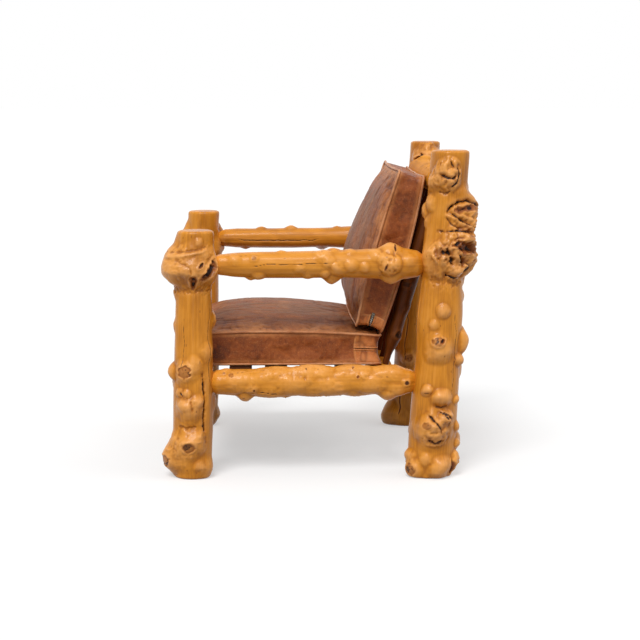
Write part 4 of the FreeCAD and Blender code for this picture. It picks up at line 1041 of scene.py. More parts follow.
FRONT_RAIL_BURLS = {
    "eye": ((0.18, 0.8, 0.38, 0.16),),
    "soft": ((0.4, 0.95, 0.34, 0.15), (0.57, 0.74, 0.3, 0.1), (0.88, 0.1, 0.32, 0.12)),
    "gnarl": ((0.74, 0.88, 0.42, 0.2),),
    "knob": ((0.3, 0.62, 0.24, 0.08),),
}
REAR_RAIL_BURLS = {
    "soft": ((0.26, 0.05, 0.38, 0.16), (0.84, 0.12, 0.32, 0.12)),
    "eye": ((0.61, 0.95, 0.34, 0.14),),
}
CREST_RAIL_BURLS = {
    "soft": ((0.12, 0.42, 0.4, 0.16), (0.47, 0.1, 0.32, 0.12), (0.76, 0.52, 0.3, 0.08)),
    "eye": ((0.3, 0.28, 0.38, 0.16), (0.82, 0.2, 0.34, 0.14)),
    "gnarl": ((0.62, 0.34, 0.42, 0.18),),
}


def carving(burls, checks=(), hollows=()):
    """A function that carves a skin by tables."""
    def carve(skin):
        skin.burls(burls)
        for check in checks:
            skin.check(*check)
        for hollow in hollows:
            skin.hollow(*hollow)

    return carve


# %% Rails
RAIL_RINGS = 260
RAIL_SIDES = 120
RAIL_EDGE = 0.012
BACKWARD_AXES = ((0, 1, 0), (1, 0, 0), (0, 0, -1))
LEFTWARD_AXES = ((1, 0, 0), (0, 0, -1), (0, 1, 0))
PLANED_RAILS = ("front_rail", "rear_seat_rail")
PLANED_DEPTH = 0.0003


def planed(piece, top):
    """Cuts a rail level on top, where the seat cushion slides over it."""
    places = vectors_of(piece.data.vertices)
    places[:, 2] = np.minimum(places[:, 2], top)
    piece.data.vertices.foreach_set("co", places.astype(np.float32).ravel())
    piece.data.update()


def rail_piece(name, start, axes, length, diameter, girth, carve, seed, tone, finish, sway):
    """A rail of any kind, planed where the seat cushion slides over it."""
    piece = log_piece(f"{name}_log", start, axes, length, diameter, girth, carve,
                      RAIL_RINGS, RAIL_SIDES, seed, sway, RAIL_EDGE, tone)
    if name in PLANED_RAILS:
        planed(piece, SLAT_TOP - PLANED_DEPTH)
    return finished(piece, finish, "lacquered_pine", "root", name)


def long_rail(name, sign, height, diameter, girth, carve, seed, tone):
    """A rail from the front post to the rear post on one side of the chair."""
    start = post_axis("front", height) + SHOULDER_SHARE * FRONT_POST["diameter"] / 2
    end = post_axis("rear", height) - SHOULDER_SHARE * REAR_POST["diameter"] / 2
    place = (sign * POST_HALF_SPACING, start, height)
    return rail_piece(name, place, BACKWARD_AXES, end - start, diameter, girth, carve, seed, tone,
                      lacquered_pine, SWAY_SHARE)


def cross_rail(name, length, back, height, diameter, carve, seed, tone):
    """A rail across the chair."""
    place = (-length / 2, back, height)
    return rail_piece(name, place, LEFTWARD_AXES, length, diameter, CROSS_RAIL_GIRTH, carve, seed, tone,
                      satin_pine, 0.0)


arm_left = carving(ARM_LEFT_BURLS, [(0.16, 0.58, 0.985, 0.0006, 0.0020)],
                   [(0.854, 0.82, 0.003, 0.009, 0, 0.005), (0.810, 0.02, 0.003, 0.008, 30, 0.004)])
arm_right = carving(ARM_RIGHT_BURLS, [(0.10, 0.55, 0.02, 0.0012, 0.004), (0.30, 0.80, 0.55, 0.0010)])
side_left = carving(SIDE_LEFT_BURLS, [(0.12, 0.34, 0.10, 0.0006)], [
    (0.077, 0.848, 0.0030, 0.0024, 0, 0.003), (0.218, 0.058, 0.0022, 0.0030, 20, 0.003),
    (0.464, 0.840, 0.0026, 0.0026, 0, 0.003), (0.686, 0.827, 0.0030, 0.0040, 40, 0.004),
    (0.708, 0.930, 0.0040, 0.0036, -30, 0.004), (0.369, 0.198, 0.0020, 0.0028, 0, 0.003),
    (0.630, 0.219, 0.0022, 0.0026, 0, 0.003)])
side_right = carving(SIDE_RIGHT_BURLS, [(0.20, 0.70, 0.55, 0.0010)])
CROSS_HEIGHT = SLAT_TOP - CROSS_RAIL_DIAMETER / 2

rails = [
    long_rail("arm_left", 1, ARM_HEIGHT, ARM_DIAMETER, ARM_GIRTH, arm_left, 47, 0.62),
    # The far arm's low tone darkens it as painted shade.
    long_rail("arm_right", -1, ARM_HEIGHT + RIGHT_ARM_RISE, ARM_DIAMETER * RIGHT_ARM_SHARE, ARM_GIRTH,
              arm_right, 58, 0.30),
    long_rail("side_rail_left", 1, SIDE_RAIL_HEIGHT, SIDE_RAIL_DIAMETER, SIDE_RAIL_GIRTH,
              side_left, 69, 0.64),
    long_rail("side_rail_right", -1, SIDE_RAIL_HEIGHT, SIDE_RAIL_DIAMETER, SIDE_RAIL_GIRTH,
              side_right, 80, 0.5),
    cross_rail("front_rail", 2 * POST_HALF_SPACING - SHOULDER_SHARE * FRONT_POST["diameter"],
               post_axis("front", CROSS_HEIGHT), CROSS_HEIGHT, CROSS_RAIL_DIAMETER,
               carving(FRONT_RAIL_BURLS, [(0.15, 0.70, 0.78, 0.0010)]), 91, 0.5),
    cross_rail("rear_seat_rail", 2 * POST_HALF_SPACING - SHOULDER_SHARE * SIDE_RAIL_DIAMETER,
               REAR_RAIL_SETBACK, CROSS_HEIGHT, CROSS_RAIL_DIAMETER, carving(REAR_RAIL_BURLS), 102, 0.45),
]
print("rails", [piece.name for piece in rails])

# %% [markdown]
# Each cushion is described in a frame of its own, as in the solids: U across, V along the depth
# with the zip at the far edge, W up to the crowned face. The seat's frame is the chair's own. The
# back cushion's V runs down its slope, and its W faces the sitter.

# %% Places of the cushions
PIPING_RADIUS = 0.0032
CLEARANCE = 0.0003
CUSHION_WIDTH = 0.530
BACK_DEPTH = 0.428
CROWN_POWER = 0.62
CUSHION_CORNER = 0.016
CUSHION_PULL = 0.007
CUSHION_BOW = 0.004
PLAN_POWER = 6
SEAT_DEPTH = 0.508
BACK_LEAN = math.atan2(0.107, 0.401)
SEAT_FRONT = feet["front", "left"][1] - 0.002


class Cushion:
    """One cushion's sizes and its place: origin, and the directions of U, V and W as rows."""

    def __init__(self, name, depth, thickness, top_bows, lean_share, under_bows, zip_return, lip_gap,
                 origin, rows):
        self.name = name
        self.lean_share = lean_share
        self.zip_return = zip_return
        self.lip_gap = lip_gap
        self.half_u = CUSHION_WIDTH / 2
        self.half_v = depth / 2
        self.near, self.far = thickness
        self.side_bow, self.end_bow, self.crown = top_bows
        self.under_side_bow, self.under_crown = under_bows
        self.origin = np.array(origin, float)
        self.rows = np.array(rows, float)

    def placed(self, local):
        """Points from the cushion's frame to the chair's."""
        return self.origin + local @ self.rows

    def local(self, points):
        """Points from the chair's frame to the cushion's."""
        return (points - self.origin) @ self.rows.T

    def top(self, u, v):
        """Height of the crowned face: the seams' arch, and a crown that dies out at the sides."""
        share = (v + self.half_v) / (2 * self.half_v)
        middle = 1 - (u / self.half_u) ** 2
        arch = np.maximum(4 * share * (1 - share), 0) ** CROWN_POWER
        arch = arch * (1 + self.lean_share * middle * (1 - 2 * share))
        edge = self.near + (self.far - self.near) * share + self.end_bow * middle * (1 - share)
        return edge + (self.side_bow + (self.crown - self.side_bow) * middle) * arch

    def under(self, u, v):
        """Height of the face beneath, which bulges the other way."""
        share = (v + self.half_v) / (2 * self.half_v)
        middle = 1 - (u / self.half_u) ** 2
        bulge = self.under_side_bow + (self.under_crown - self.under_side_bow) * middle
        return -bulge * 4 * share * (1 - share)

    def plan(self, a, b, inset=0.0):
        """A square grid laid on the plan: round corners, and sides that bow in between them."""
        reach = np.maximum(np.maximum(np.abs(a), np.abs(b)), 1e-9)
        half_u, half_v = self.half_u - inset, self.half_v - inset
        edge_u, edge_v = a / reach * half_u, b / reach * half_v
        over_u = np.maximum(np.abs(edge_u) - half_u + CUSHION_CORNER, 0)
        over_v = np.maximum(np.abs(edge_v) - half_v + CUSHION_CORNER, 0)
        length = np.maximum(np.hypot(over_u, over_v), CUSHION_CORNER)
        round_u = np.sign(edge_u) * (np.abs(edge_u) - over_u + over_u * CUSHION_CORNER / length)
        round_v = np.sign(edge_v) * (np.abs(edge_v) - over_v + over_v * CUSHION_CORNER / length)
        beside = np.abs(a) >= np.abs(b)
        bow_u = np.where(beside, CUSHION_BOW * (1 - (edge_v / half_v) ** 2), 0) * np.sign(edge_u)
        bow_v = np.where(beside, 0, CUSHION_BOW * (1 - (edge_u / half_u) ** 2)) * np.sign(edge_v)
        share = reach**PLAN_POWER
        u = a * half_u + (round_u - bow_u - edge_u) * share
        v = b * half_v + (round_v - bow_v - edge_v) * share
        return u, v


STAND_OFF = (PIPING_RADIUS + CLEARANCE) * math.sqrt(0.5)
seat_height = SLAT_TOP + CLEARANCE + 0.001 + STAND_OFF + PIPING_RADIUS
seat = Cushion("seat_cushion", SEAT_DEPTH, (0.077, 0.071), (0.008, 0.005, 0.048), 0.25, (0.001, 0.005),
               0.076, 0.0006, (0, SEAT_FRONT + SEAT_DEPTH / 2, seat_height), np.eye(3))
sine, cosine = math.sin(BACK_LEAN), math.cos(BACK_LEAN)
back_rows = np.array([(-1, 0, 0), (0, -sine, -cosine), (0, -cosine, sine)])
foot_height = seat.far + STAND_OFF + 2 * PIPING_RADIUS + CLEARANCE
foot_rest = seat.origin + np.array([0, seat.half_v + STAND_OFF, foot_height])
back_origin = foot_rest - np.array([0, BACK_DEPTH / 2 + STAND_OFF, -STAND_OFF]) @ back_rows
back = Cushion("back_cushion", BACK_DEPTH, (0.062, 0.065), (0.006, 0.004, 0.055), -0.42, (0.011, 0.015),
               0.045, 0.0024, back_origin, back_rows)
print("back cushion's origin", np.round(back.origin, 4))

# %% [markdown]
# The crest rail lies square behind the back cushion's top, and the spindles climb to it from the
# rear seat rail. They are the same kind of log, dark stained, with a tenon turned on each end.

# %% Crest rail and spindles
crest_stand_off = PIPING_RADIUS + CREST_RAIL_DIAMETER / 2 + CLEARANCE
crest_place = back.placed(np.array([0, -back.half_v - STAND_OFF, -STAND_OFF - crest_stand_off]))
rails.append(cross_rail("crest_rail", 2 * POST_HALF_SPACING - SHOULDER_SHARE * REAR_POST["diameter"],
                        crest_place[1], crest_place[2], CREST_RAIL_DIAMETER,
                        carving(CREST_RAIL_BURLS, [(0.2, 0.8, 0.30, 0.001)]), 113, 0.5))

SPINDLE_GIRTH = ((0.00, 0.47), (0.10, 0.47), (0.20, 0.95), (0.40, 1.04), (0.60, 1.00), (0.80, 0.93),
                 (0.90, 0.47), (1.00, 0.47))
SPINDLE_COUNT = 5
SPINDLE_RINGS = 150
SPINDLE_SIDES = 44
SPINDLE_BURL_COUNT = 6
SPINDLE_EDGE = 0.003


def spindle_piece(number):
    """One sapling from the rear seat rail up to the crest rail."""
    across = (number - (SPINDLE_COUNT - 1) / 2) * SPINDLE_PITCH
    foot = np.array([across, REAR_RAIL_SETBACK, CROSS_HEIGHT])
    head = np.array([across, crest_place[1], crest_place[2]])
    length = float(np.linalg.norm(head - foot))
    lengthways = (head - foot) / length
    first = np.array([1.0, 0, 0])
    second = np.cross(lengthways, first)
    rng = np.random.default_rng(number + 7)
    count = SPINDLE_BURL_COUNT
    rows = np.stack([
        np.linspace(0.24, 0.80, count) + rng.uniform(-0.03, 0.03, count), rng.uniform(0, 1, count),
        rng.uniform(0.35, 0.60, count), rng.uniform(0.05, 0.12, count)], -1)
    carve = carving({"eye": rows[::2], "soft": rows[1::2]})
    piece = log_piece(f"back_spindle_{number + 1}_log", foot, (lengthways, first, second), length,
                      SPINDLE_DIAMETER, SPINDLE_GIRTH, carve, SPINDLE_RINGS, SPINDLE_SIDES, 200 + number,
                      0.0, SPINDLE_EDGE, 0.5)
    return finished(piece, dark_pine, "dark_stained_pine", "root", f"back_spindle_{number + 1}")


spindles = [spindle_piece(number) for number in range(SPINDLE_COUNT)]
print("spindles", len(spindles), "crest rail at", np.round(crest_place, 3))

# %% [markdown]
# The slats are plain boards, and their solids already have the right shape, so they only need a
# finish. It is near black, painted shade for the shadow under the seat cushion. Their grain runs
# across the chair, on Object coordinates.


# %% Slats
SLAT_COUNT = 4


def board_parts(start):
    place = start.place()
    streaks = start.noise(start.stretched(place, (0.05, 1, 1)), 190, 4, 0.65)
    patches = start.noise(place, 14, 3, 0.55)
    return streaks, patches


def board_colour(start):
    streaks, patches = board_parts(start)
    mixed = streaks * 0.6 + patches * 0.4
    # Near-black shades: painted shade under the seat cushion.
    return mixed.ramp((0.30, paint(24, 9, 2)), (0.50, paint(46, 20, 6)), (0.72, paint(72, 36, 13)))


painted_shade_board = material("board_in_painted_shade", board_colour, lambda start: 0.42 + board_parts(start)[0] * 0.2,
                      lambda start: board_parts(start)[0], 0.0008, Coat_Weight=0.1, Coat_Roughness=0.3,
                      Specular_IOR_Level=0.15)
for number in range(SLAT_COUNT):
    refinished(f"seat_slat_{number + 1}", painted_shade_board)
print("slats finished", SLAT_COUNT)

# %% [markdown]
# A cushion starts as a closed grid: a crowned face, a face beneath and a boxing between, all
# sharing their seams. Cloth simulation then puffs it. The seams are held, the leather is cut a
# little large and air presses from inside, so it swells between the seams and puckers near them,
# as a filled cover does. How far a point may move is capped, so the cushion keeps its place.

# %% Cushion grid
FACE_STEP = 0.0085
BOXING_LEVELS = 10
FULL_SHARE = 0.35
DRAWING_IN = 0.060


def by_zip(cushion, v):
    """How much the zip draws the boxing in: all along it, and less and less before its ends."""
    start = cushion.half_v - cushion.zip_return
    return FULL_SHARE + (1 - FULL_SHARE) * smooth_step(start - DRAWING_IN, start, v)


def cushion_grid(cushion):
    """Points and faces of the closed cover, the boxing's rings, and each point's level on the boxing."""
    steps_u = int(round(2 * cushion.half_u / FACE_STEP / 2)) * 2
    steps_v = int(round(2 * cushion.half_v / FACE_STEP / 2)) * 2
    a, b = np.meshgrid(np.linspace(-1, 1, steps_u + 1), np.linspace(-1, 1, steps_v + 1), indexing="ij")
    u, v = cushion.plan(a, b)
    face = np.arange(a.size).reshape(a.shape)
    crown = np.stack([u, v, cushion.top(u, v)], -1).reshape(-1, 3)
    beneath = np.stack([u, v, cushion.under(u, v)], -1).reshape(-1, 3)
    loop = np.concatenate([face[:-1, 0], face[-1, :-1], face[:0:-1, -1], face[0, :0:-1]])
    count = len(loop)
    rings = [loop + a.size]
    walls = []
    drawn = CUSHION_PULL * by_zip(cushion, v.ravel()[loop])
    for level in range(1, BOXING_LEVELS):
        share = level / BOXING_LEVELS
        inset = drawn * 4 * share * (1 - share)
        wall_u, wall_v = cushion.plan(a.ravel()[loop], b.ravel()[loop], inset)
        height = beneath[loop, 2] * (1 - share) + crown[loop, 2] * share
        walls.append(np.stack([wall_u, wall_v, height], -1))
        rings.append(2 * a.size + (level - 1) * count + np.arange(count))
    rings.append(loop)
    points = np.concatenate([crown, beneath, *walls])
    quads = np.stack([face[:-1, :-1], face[1:, :-1], face[1:, 1:], face[:-1, 1:]], -1).reshape(-1, 4)
    low, high = np.array(rings[:-1]), np.array(rings[1:])
    sides = np.stack([low, np.roll(low, -1, 1), np.roll(high, -1, 1), high], -1).reshape(-1, 4)
    faces = [np.concatenate([quads, quads[:, ::-1] + a.size, sides])]
    level = np.zeros(len(points))
    level[2 * a.size:] = np.repeat(np.arange(1, BOXING_LEVELS), count) / BOXING_LEVELS
    return points, faces, np.array(rings), level


# %% Puffing
PUFF_FRAMES = 20
PUFF_PRESSURE = 4.0
EXTRA_LEATHER = -0.030
FACE_CAP = 0.011
BOXING_CAP = 0.0045


def puffed(cushion, points, faces, rings, level):
    """The grid's points after cloth simulation, with each point's travel capped."""
    start = cushion.placed(points)
    piece = mesh_piece(cushion.name + "_puff", start, faces)
    held = piece.vertex_groups.new(name="sewn")
    held.add(rings[[0, -1]].ravel().tolist(), 1.0, "REPLACE")
    cloth = piece.modifiers.new("puff", "CLOTH")
    settings = cloth.settings
    settings.quality = 6
    settings.mass = 0.4
    settings.tension_stiffness = 25
    settings.compression_stiffness = 25
    settings.shear_stiffness = 8
    settings.bending_stiffness = 0.6
    settings.use_pressure = True
    settings.uniform_pressure_force = PUFF_PRESSURE
    settings.effector_weights.gravity = 0
    settings.vertex_group_mass = held.name
    settings.shrink_min = EXTRA_LEATHER
    for step in range(1, PUFF_FRAMES + 1):
        bpy.context.scene.frame_set(step)
    result = piece.evaluated_get(bpy.context.evaluated_depsgraph_get()).data
    travel = vectors_of(result.vertices) - start
    bpy.context.scene.frame_set(1)
    taken_away(piece)
    on_boxing = BOXING_CAP * (1.15 - by_zip(cushion, points[:, 1]))
    cap = np.where(level > 0, on_boxing, FACE_CAP)[:, None]
    length = np.linalg.norm(travel, axis=1, keepdims=True)
    print(cushion.name, "moved at most", round(float(length.max()) * 1000, 1), "mm before the cap")
    travel = travel * np.minimum(1, cap * np.tanh(length / cap) / np.maximum(length, 1e-9))
    return start + travel


# %% [markdown]
# Creases come after the simulation: long soft folds where a sitter has pressed the leather, and
# short ones that run in from the seams. They are ridged noise: where a swell crosses nought the
# leather folds. What is pressed in gets painted shade, and what stands out or lies by a seam is
# worn pale.


# %% Leather cover
LONG_FOLD_DEPTH = 0.0034
CROSS_FOLD_DEPTH = 0.0014
PUCKER_DEPTH = 0.0011
SOFT_RISE = 0.0006
LINE_WIDTH = 0.10


def denser(name, points, faces):
    """The grid with one level of subdivision, as a mesh."""
    rough_piece = mesh_piece(name + "_grid", points, faces)
    modifier = rough_piece.modifiers.new("smooth", "SUBSURF")
    modifier.levels = modifier.render_levels = 1
    bpy.context.view_layer.update()
    result = rough_piece.evaluated_get(bpy.context.evaluated_depsgraph_get())
    mesh = bpy.data.meshes.new_from_object(result)
    mesh.name = name
    taken_away(rough_piece)
    return mesh


def fold_lines(places, size, stretch, seed):
    """Thin lines from 0 to 1 where a stretched swell crosses nought."""
    return bell(rough(places / np.array(stretch), size, seed, 2), LINE_WIDTH)


boxings = {}


def cushion_piece(cushion, rests):
    """The finished cover: puffed, made denser, creased, and marked for its wear, for painted shade
    in its creases and for a painted sheen on its faces.
    """
    points, faces, rings, level = cushion_grid(cushion)
    shaped = puffed(cushion, points, faces, rings, level)
    boxings[cushion.name] = shaped[rings]
    mesh = denser(cushion.name + "_leather", shaped, faces)
    places = vectors_of(mesh.vertices)
    normals = vectors_of(mesh.vertex_normals, "vector")
    u, v, w = cushion.local(places).T
    from_edge = np.minimum(cushion.half_u - np.abs(u), cushion.half_v - np.abs(v))
    height = np.minimum(np.abs(w - cushion.top(u, v)), np.abs(w - cushion.under(u, v)))
    from_seam = np.hypot(np.maximum(from_edge - CUSHION_PULL * 0.3, 0), np.minimum(height, 0.03))
    on_face = smooth_step(0.008, 0.030, from_edge)
    local = np.stack([u, v, w], -1)
    long_folds = fold_lines(local, 0.046, (0.50, 2.8, 1.0), 301) * on_face
    cross_folds = fold_lines(local + 0.4, 0.060, (2.0, 0.6, 1.0), 302) * on_face
    near_seam = smooth_step(0.060, 0.012, from_seam) * smooth_step(0.000, 0.008, from_seam)
    puckers = fold_lines(local, 0.020, (1.0, 1.0, 0.8), 303) * near_seam
    strength = 0.5 + 0.5 * rough(local, 0.16, 304, 2)
    soft = rough(local, 0.035, 305, 3)
    lift = (SOFT_RISE * soft * smooth_step(0.0, 0.02, from_seam) - PUCKER_DEPTH * puckers
            - (LONG_FOLD_DEPTH * long_folds + CROSS_FOLD_DEPTH * cross_folds) * strength)
    moved = rests(places + normals * lift[:, None])
    mesh.vertices.foreach_set("co", moved.astype(np.float32).ravel())
    mesh.polygons.foreach_set("use_smooth", np.full(len(mesh.polygons), True))
    below_top = np.abs(w - cushion.top(u, v)) - FACE_CAP
    on_crown = smooth_step(0.006, 0.0, below_top) * smooth_step(0.002, 0.011, from_edge)
    attributes = {
        "worn": np.clip(smooth_step(0.016, 0.0, from_seam) + 0.35 * soft * on_face, 0, 1),
        # Creases and puckers, darkened later as painted shade.
        "crease_shade": np.clip((long_folds + 0.6 * cross_folds) * strength + 0.6 * puckers, 0, 1),
        "band": np.clip(smooth_step(0.060, 0.018, from_edge) * on_crown * (0.7 + 0.5 * soft), 0, 1),
        # The inner crowned face: a painted greyish sheen there, and a little more roughness.
        "face_sheen_and_wear": smooth_step(0.030, 0.090, from_edge) * on_crown,
    }
    for key, values in attributes.items():
        mesh.attributes.new(key, "FLOAT", "POINT").data.foreach_set("value", values.astype(np.float32))
    mesh.update()
    mesh.materials.clear()
    piece = in_scene(cushion.name + "_leather", mesh)
    return finished(piece, brown_leather, "brown_leather", cushion.name,
                    f"{cushion.name}_cover", f"{cushion.name}_foam")


# %% [markdown]
# Waxed leather, much used. Broad patches go from dark red brown to tan, a net of fine cracks covers
# it, and it is paler where it is rubbed: in a band of orange tan inside the seams of the crowned
# faces. Farther in, the faces carry a painted greyish sheen in streaks from front to back, crossed by
# dark lines of painted wrinkle shade, and the creases get painted shade. The panels by the zip are a
# paler hide, and the piping paler still.


# %% Brown leather
def leather_parts(start):
    place = start.place()
    patches = start.noise(place, 11, 4, 0.6, 0.6)
    mottle = start.noise(place, 85, 3, 0.6)
    crackle = start.cells(place, 330, "DISTANCE_TO_EDGE").between(0.09, 0.0)
    grain = start.cells(place, 900)
    scuffs = start.noise(start.stretched(place, (1, 0.25, 1)), 60, 4, 0.7).between(0.60, 0.74)
    return patches, mottle, crackle, grain, scuffs


def leather_colour(shades):
    dark, brown, tan, rub_and_highlight, sheen_grey = [paint(*shade) for shade in shades]

    def colour(start):
        place = start.place()
        band, face_sheen_and_wear = start.attribute("band"), start.attribute("face_sheen_and_wear")
        patches, mottle, crackle, _, scuffs = leather_parts(start)
        mixed = patches * 0.65 + mottle * 0.35
        speckle = start.noise(place, 260, 2, 0.7).between(0.58, 0.74)
        streaks = start.noise(start.stretched(place, (1, 0.16, 0.16)), 55, 5, 0.65).between(0.36, 0.62)
        lines = start.noise(start.stretched(place, (1, 0.10, 0.10)), 90, 4, 0.6).between(0.56, 0.70)
        hide = mixed.ramp((0.34, dark), (0.50, brown), (0.70, tan))
        hide = hide.tinted(speckle * 0.50, rub_and_highlight)
        hide = hide.tinted(scuffs * 0.40, rub_and_highlight)
        # Greyish streaks on the inner faces and dark lines across them: painted sheen, painted wrinkle
        # shade.
        hide = hide.tinted(face_sheen_and_wear * (0.12 + streaks * 0.74), sheen_grey)
        hide = hide.tinted(band * (0.38 + mottle * 0.7), rub_and_highlight)
        hide = hide.tinted(crackle * (0.26 - band * 0.2), rub_and_highlight)
        hide = hide.tinted(crackle * band * 0.55, dark)
        hide = hide.tinted(face_sheen_and_wear * lines * 0.50, dark)
        # Darker in the creases: painted shade.
        hide = hide.tinted(start.attribute("crease_shade") * 0.80, dark)
        return hide.tinted(start.attribute("worn") * (0.35 + mottle * 0.6), rub_and_highlight)

    return colour


def leather_roughness(start):
    patches, mottle, crackle, _, _ = leather_parts(start)
    return 0.27 + patches * 0.12 + mottle * 0.12 + crackle * 0.14 + start.attribute("face_sheen_and_wear") * 0.06


def leather_bump(start):
    _, mottle, crackle, grain, _ = leather_parts(start)
    return mottle * 0.5 + grain * 0.18 - crackle * 0.35


def hide_finish(name, bump_depth, *shades):
    """A leather by its shades: dark, brown, tan, rubbed, and a grey for the painted sheen."""
    return material(name, leather_colour(shades), leather_roughness, leather_bump, bump_depth,
                    IOR=1.4, Specular_IOR_Level=0.44)


# The last shade of each leather is the grey of the painted sheen.
brown_leather = hide_finish("brown_leather", 0.0008, (84, 34, 10), (142, 71, 27), (178, 100, 46),
                            (212, 142, 84), (122, 87, 65))
placket_leather = hide_finish("placket_leather", 0.0006, (120, 56, 20), (190, 106, 48), (212, 134, 68),
                              (226, 158, 96), (128, 92, 71))
tan_leather = hide_finish("tan_piping", 0.0005, (122, 62, 26), (170, 98, 50), (196, 128, 76),
                          (222, 164, 116), (128, 92, 71))
print("leathers", brown_leather.name, placket_leather.name, tan_leather.name)

# %% [markdown]
# The small things that hold a cover together: zip teeth of a dull silver metal, sliders of a darker
# one, a brown tape woven of fine ribs, and pale waxed thread.


# %% Metal, tape and thread
def speckled(scale, detail, roughness, *stops):
    """A fine noise all over, coloured by the stops, each a height and a shade."""
    def colour(start):
        noise = start.noise(start.place(), scale, detail, roughness)
        return noise.ramp(*[(height, paint(*shade)) for height, shade in stops])

    return colour


def silver_roughness(start):
    return 0.26 + start.noise(start.place(), 700, 3, 0.6) * 0.22


def tape_ribs(start):
    return start.noise(start.stretched(start.place(), (1, 1, 0.2)), 1500, 2, 0.5)


def tape_colour(start):
    return tape_ribs(start).ramp((0.35, paint(44, 26, 16)), (0.65, paint(84, 54, 34)))


def metal(name, *shades):
    colour = speckled(420, 3, 0.6, *zip((0.35, 0.50, 0.65), shades))
    return material(name, colour, silver_roughness, silver_roughness, 0.0002, Metallic=0.9)


zip_metal = metal("zip_metal", (142, 137, 128), (200, 197, 190), (228, 226, 221))
dark_metal = metal("dark_metal", (48, 42, 36), (92, 84, 74), (138, 128, 114))
zip_cloth = material("zip_tape", tape_colour, lambda start: 0.75 + tape_ribs(start) * 0.15, tape_ribs,
                     0.0003, Specular_IOR_Level=0.2)
thread_colour = speckled(300, 2, 0.5, (0.35, (196, 150, 100)), (0.65, (228, 192, 146)))
pale_thread = material("pale_thread", thread_colour, lambda start: 0.55 + tape_ribs(start) * 0.2, tape_ribs,
                       0.0002, Specular_IOR_Level=0.3)
print("small finishes", zip_metal.name, dark_metal.name, zip_cloth.name, pale_thread.name)

# %% [markdown]
# The seat cushion lies on the slats, so nothing of it goes below them. The back cushion leans on
# the spindles and presses flat there.

# %% Two cushions
SPINDLE_GAP = 0.0165
FOOT_MARGIN = 0.0062
FOOT_BOW = 0.009
FOOT_SLOPE = 1.2
FOOT_REACH = 0.05
DEEPEST_SINK = 0.02


def rests_on_slats(points):
    """Nothing lies below the slats, and the crown sinks to just under the back cushion's foot."""
    points[:, 2] = np.maximum(points[:, 2], SLAT_TOP + CLEARANCE)
    local = back.local(points)
    share = local[:, 2] / back.far
    inside = np.clip(share, 0, 1)
    bow = FOOT_BOW * 4 * inside * (1 - inside)
    foot = back.half_v + FOOT_MARGIN - bow - FOOT_SLOPE * back.far * np.maximum(share - 1, 0)
    near_foot = (local[:, 1] > back.half_v - FOOT_REACH) & (share > -0.2)
    under_it = (np.abs(local[:, 0]) < back.half_u) & near_foot
    local[:, 1] += np.where(under_it, np.clip(foot - local[:, 1], 0, DEEPEST_SINK), 0)
    return back.placed(local)


def rests_on_spindles(points):
    """Nothing of the back cushion goes farther back than the spindles."""
    local = back.local(points)
    local[:, 2] = np.maximum(local[:, 2], -SPINDLE_GAP)
    return back.placed(local)


seat_cover = cushion_piece(seat, rests_on_slats)
back_cover = cushion_piece(back, rests_on_spindles)
print("covers", len(seat_cover.data.vertices), len(back_cover.data.vertices))

# %% [markdown]
# Piping is leather rolled round a cord and sewn into the seam. It is a round profile carried round
# the plan's edge, a little uneven, as hand-made piping is.


# %% Piping
def unit(vectors):
    """The same directions, one long."""
    return vectors / np.linalg.norm(vectors, axis=-1, keepdims=True)


def round_tube(path, outward, radius, sides):
    """A tube closed in a loop: at each point of the path stands a circle, square to the path."""
    along = unit(np.roll(path, -1, 0) - np.roll(path, 1, 0))
    outward = unit(outward - along * np.sum(outward * along, 1, keepdims=True))
    across = np.cross(along, outward)
    angle = np.arange(sides) / sides * math.tau
    circle = np.stack([np.cos(angle), np.sin(angle)], -1) * np.reshape(radius, (-1, 1, 1))
    rings = path[:, None] + outward[:, None] * circle[..., :1] + across[:, None] * circle[..., 1:]
    return rings.reshape(-1, 3), tube_faces(len(path) + 1, sides) % (len(path) * sides)


def seam_path(cushion, upper, count, stand_off):
    """Points round the plan's edge at a seam, and the direction outwards at each."""
    share = np.arange(count) / count * 8
    a = np.clip(np.abs((share - 1) % 8 - 4) - 2, -1, 1)
    b = np.clip(np.abs((share - 3) % 8 - 4) - 2, -1, 1)
    u, v = cushion.plan(a, b)
    outward = unit(np.stack([np.roll(v, -1) - np.roll(v, 1), np.roll(u, 1) - np.roll(u, -1)], -1))
    outward *= np.sign(np.sum(outward * np.stack([u, v], -1), 1, keepdims=True))
    w = cushion.top(u, v) if upper else cushion.under(u, v)
    path = np.stack([u + outward[:, 0] * stand_off, v + outward[:, 1] * stand_off, w], -1)
    return path, np.concatenate([outward, np.zeros((count, 1))], 1)


PIPING_POINTS = 420
PIPING_SIDES = 12
PIPING_WANDER = 0.0005
SEWN_SHARE = 0.6


def piping_piece(cushion, upper):
    """A welt round one seam, sewn in by a share of its stand-off."""
    stand = STAND_OFF * SEWN_SHARE
    path, outward = seam_path(cushion, upper, PIPING_POINTS, stand)
    path[:, 2] += stand if upper else -stand
    path += outward * (PIPING_WANDER * rough(path, 0.05, 401 + upper))[:, None]
    radius = PIPING_RADIUS * (1 + 0.05 * swell(path, 0.012, 405))
    points, rings = round_tube(path, outward, radius, PIPING_SIDES)
    points = cushion.placed(points)
    worn = np.clip(0.5 + 0.6 * rough(points, 0.04, 410), 0, 1)
    name = f"{cushion.name}_{'upper' if upper else 'lower'}_piping"
    piece = mesh_piece(name + "_welt", points, [rings], {"worn": worn, "crease_shade": np.zeros(len(points))})
    return finished(piece, tan_leather, "tan_piping", cushion.name, name)


pipings = [piping_piece(cushion, upper) for cushion in (seat, back) for upper in (True, False)]
print("pipings", [piece.name for piece in pipings])

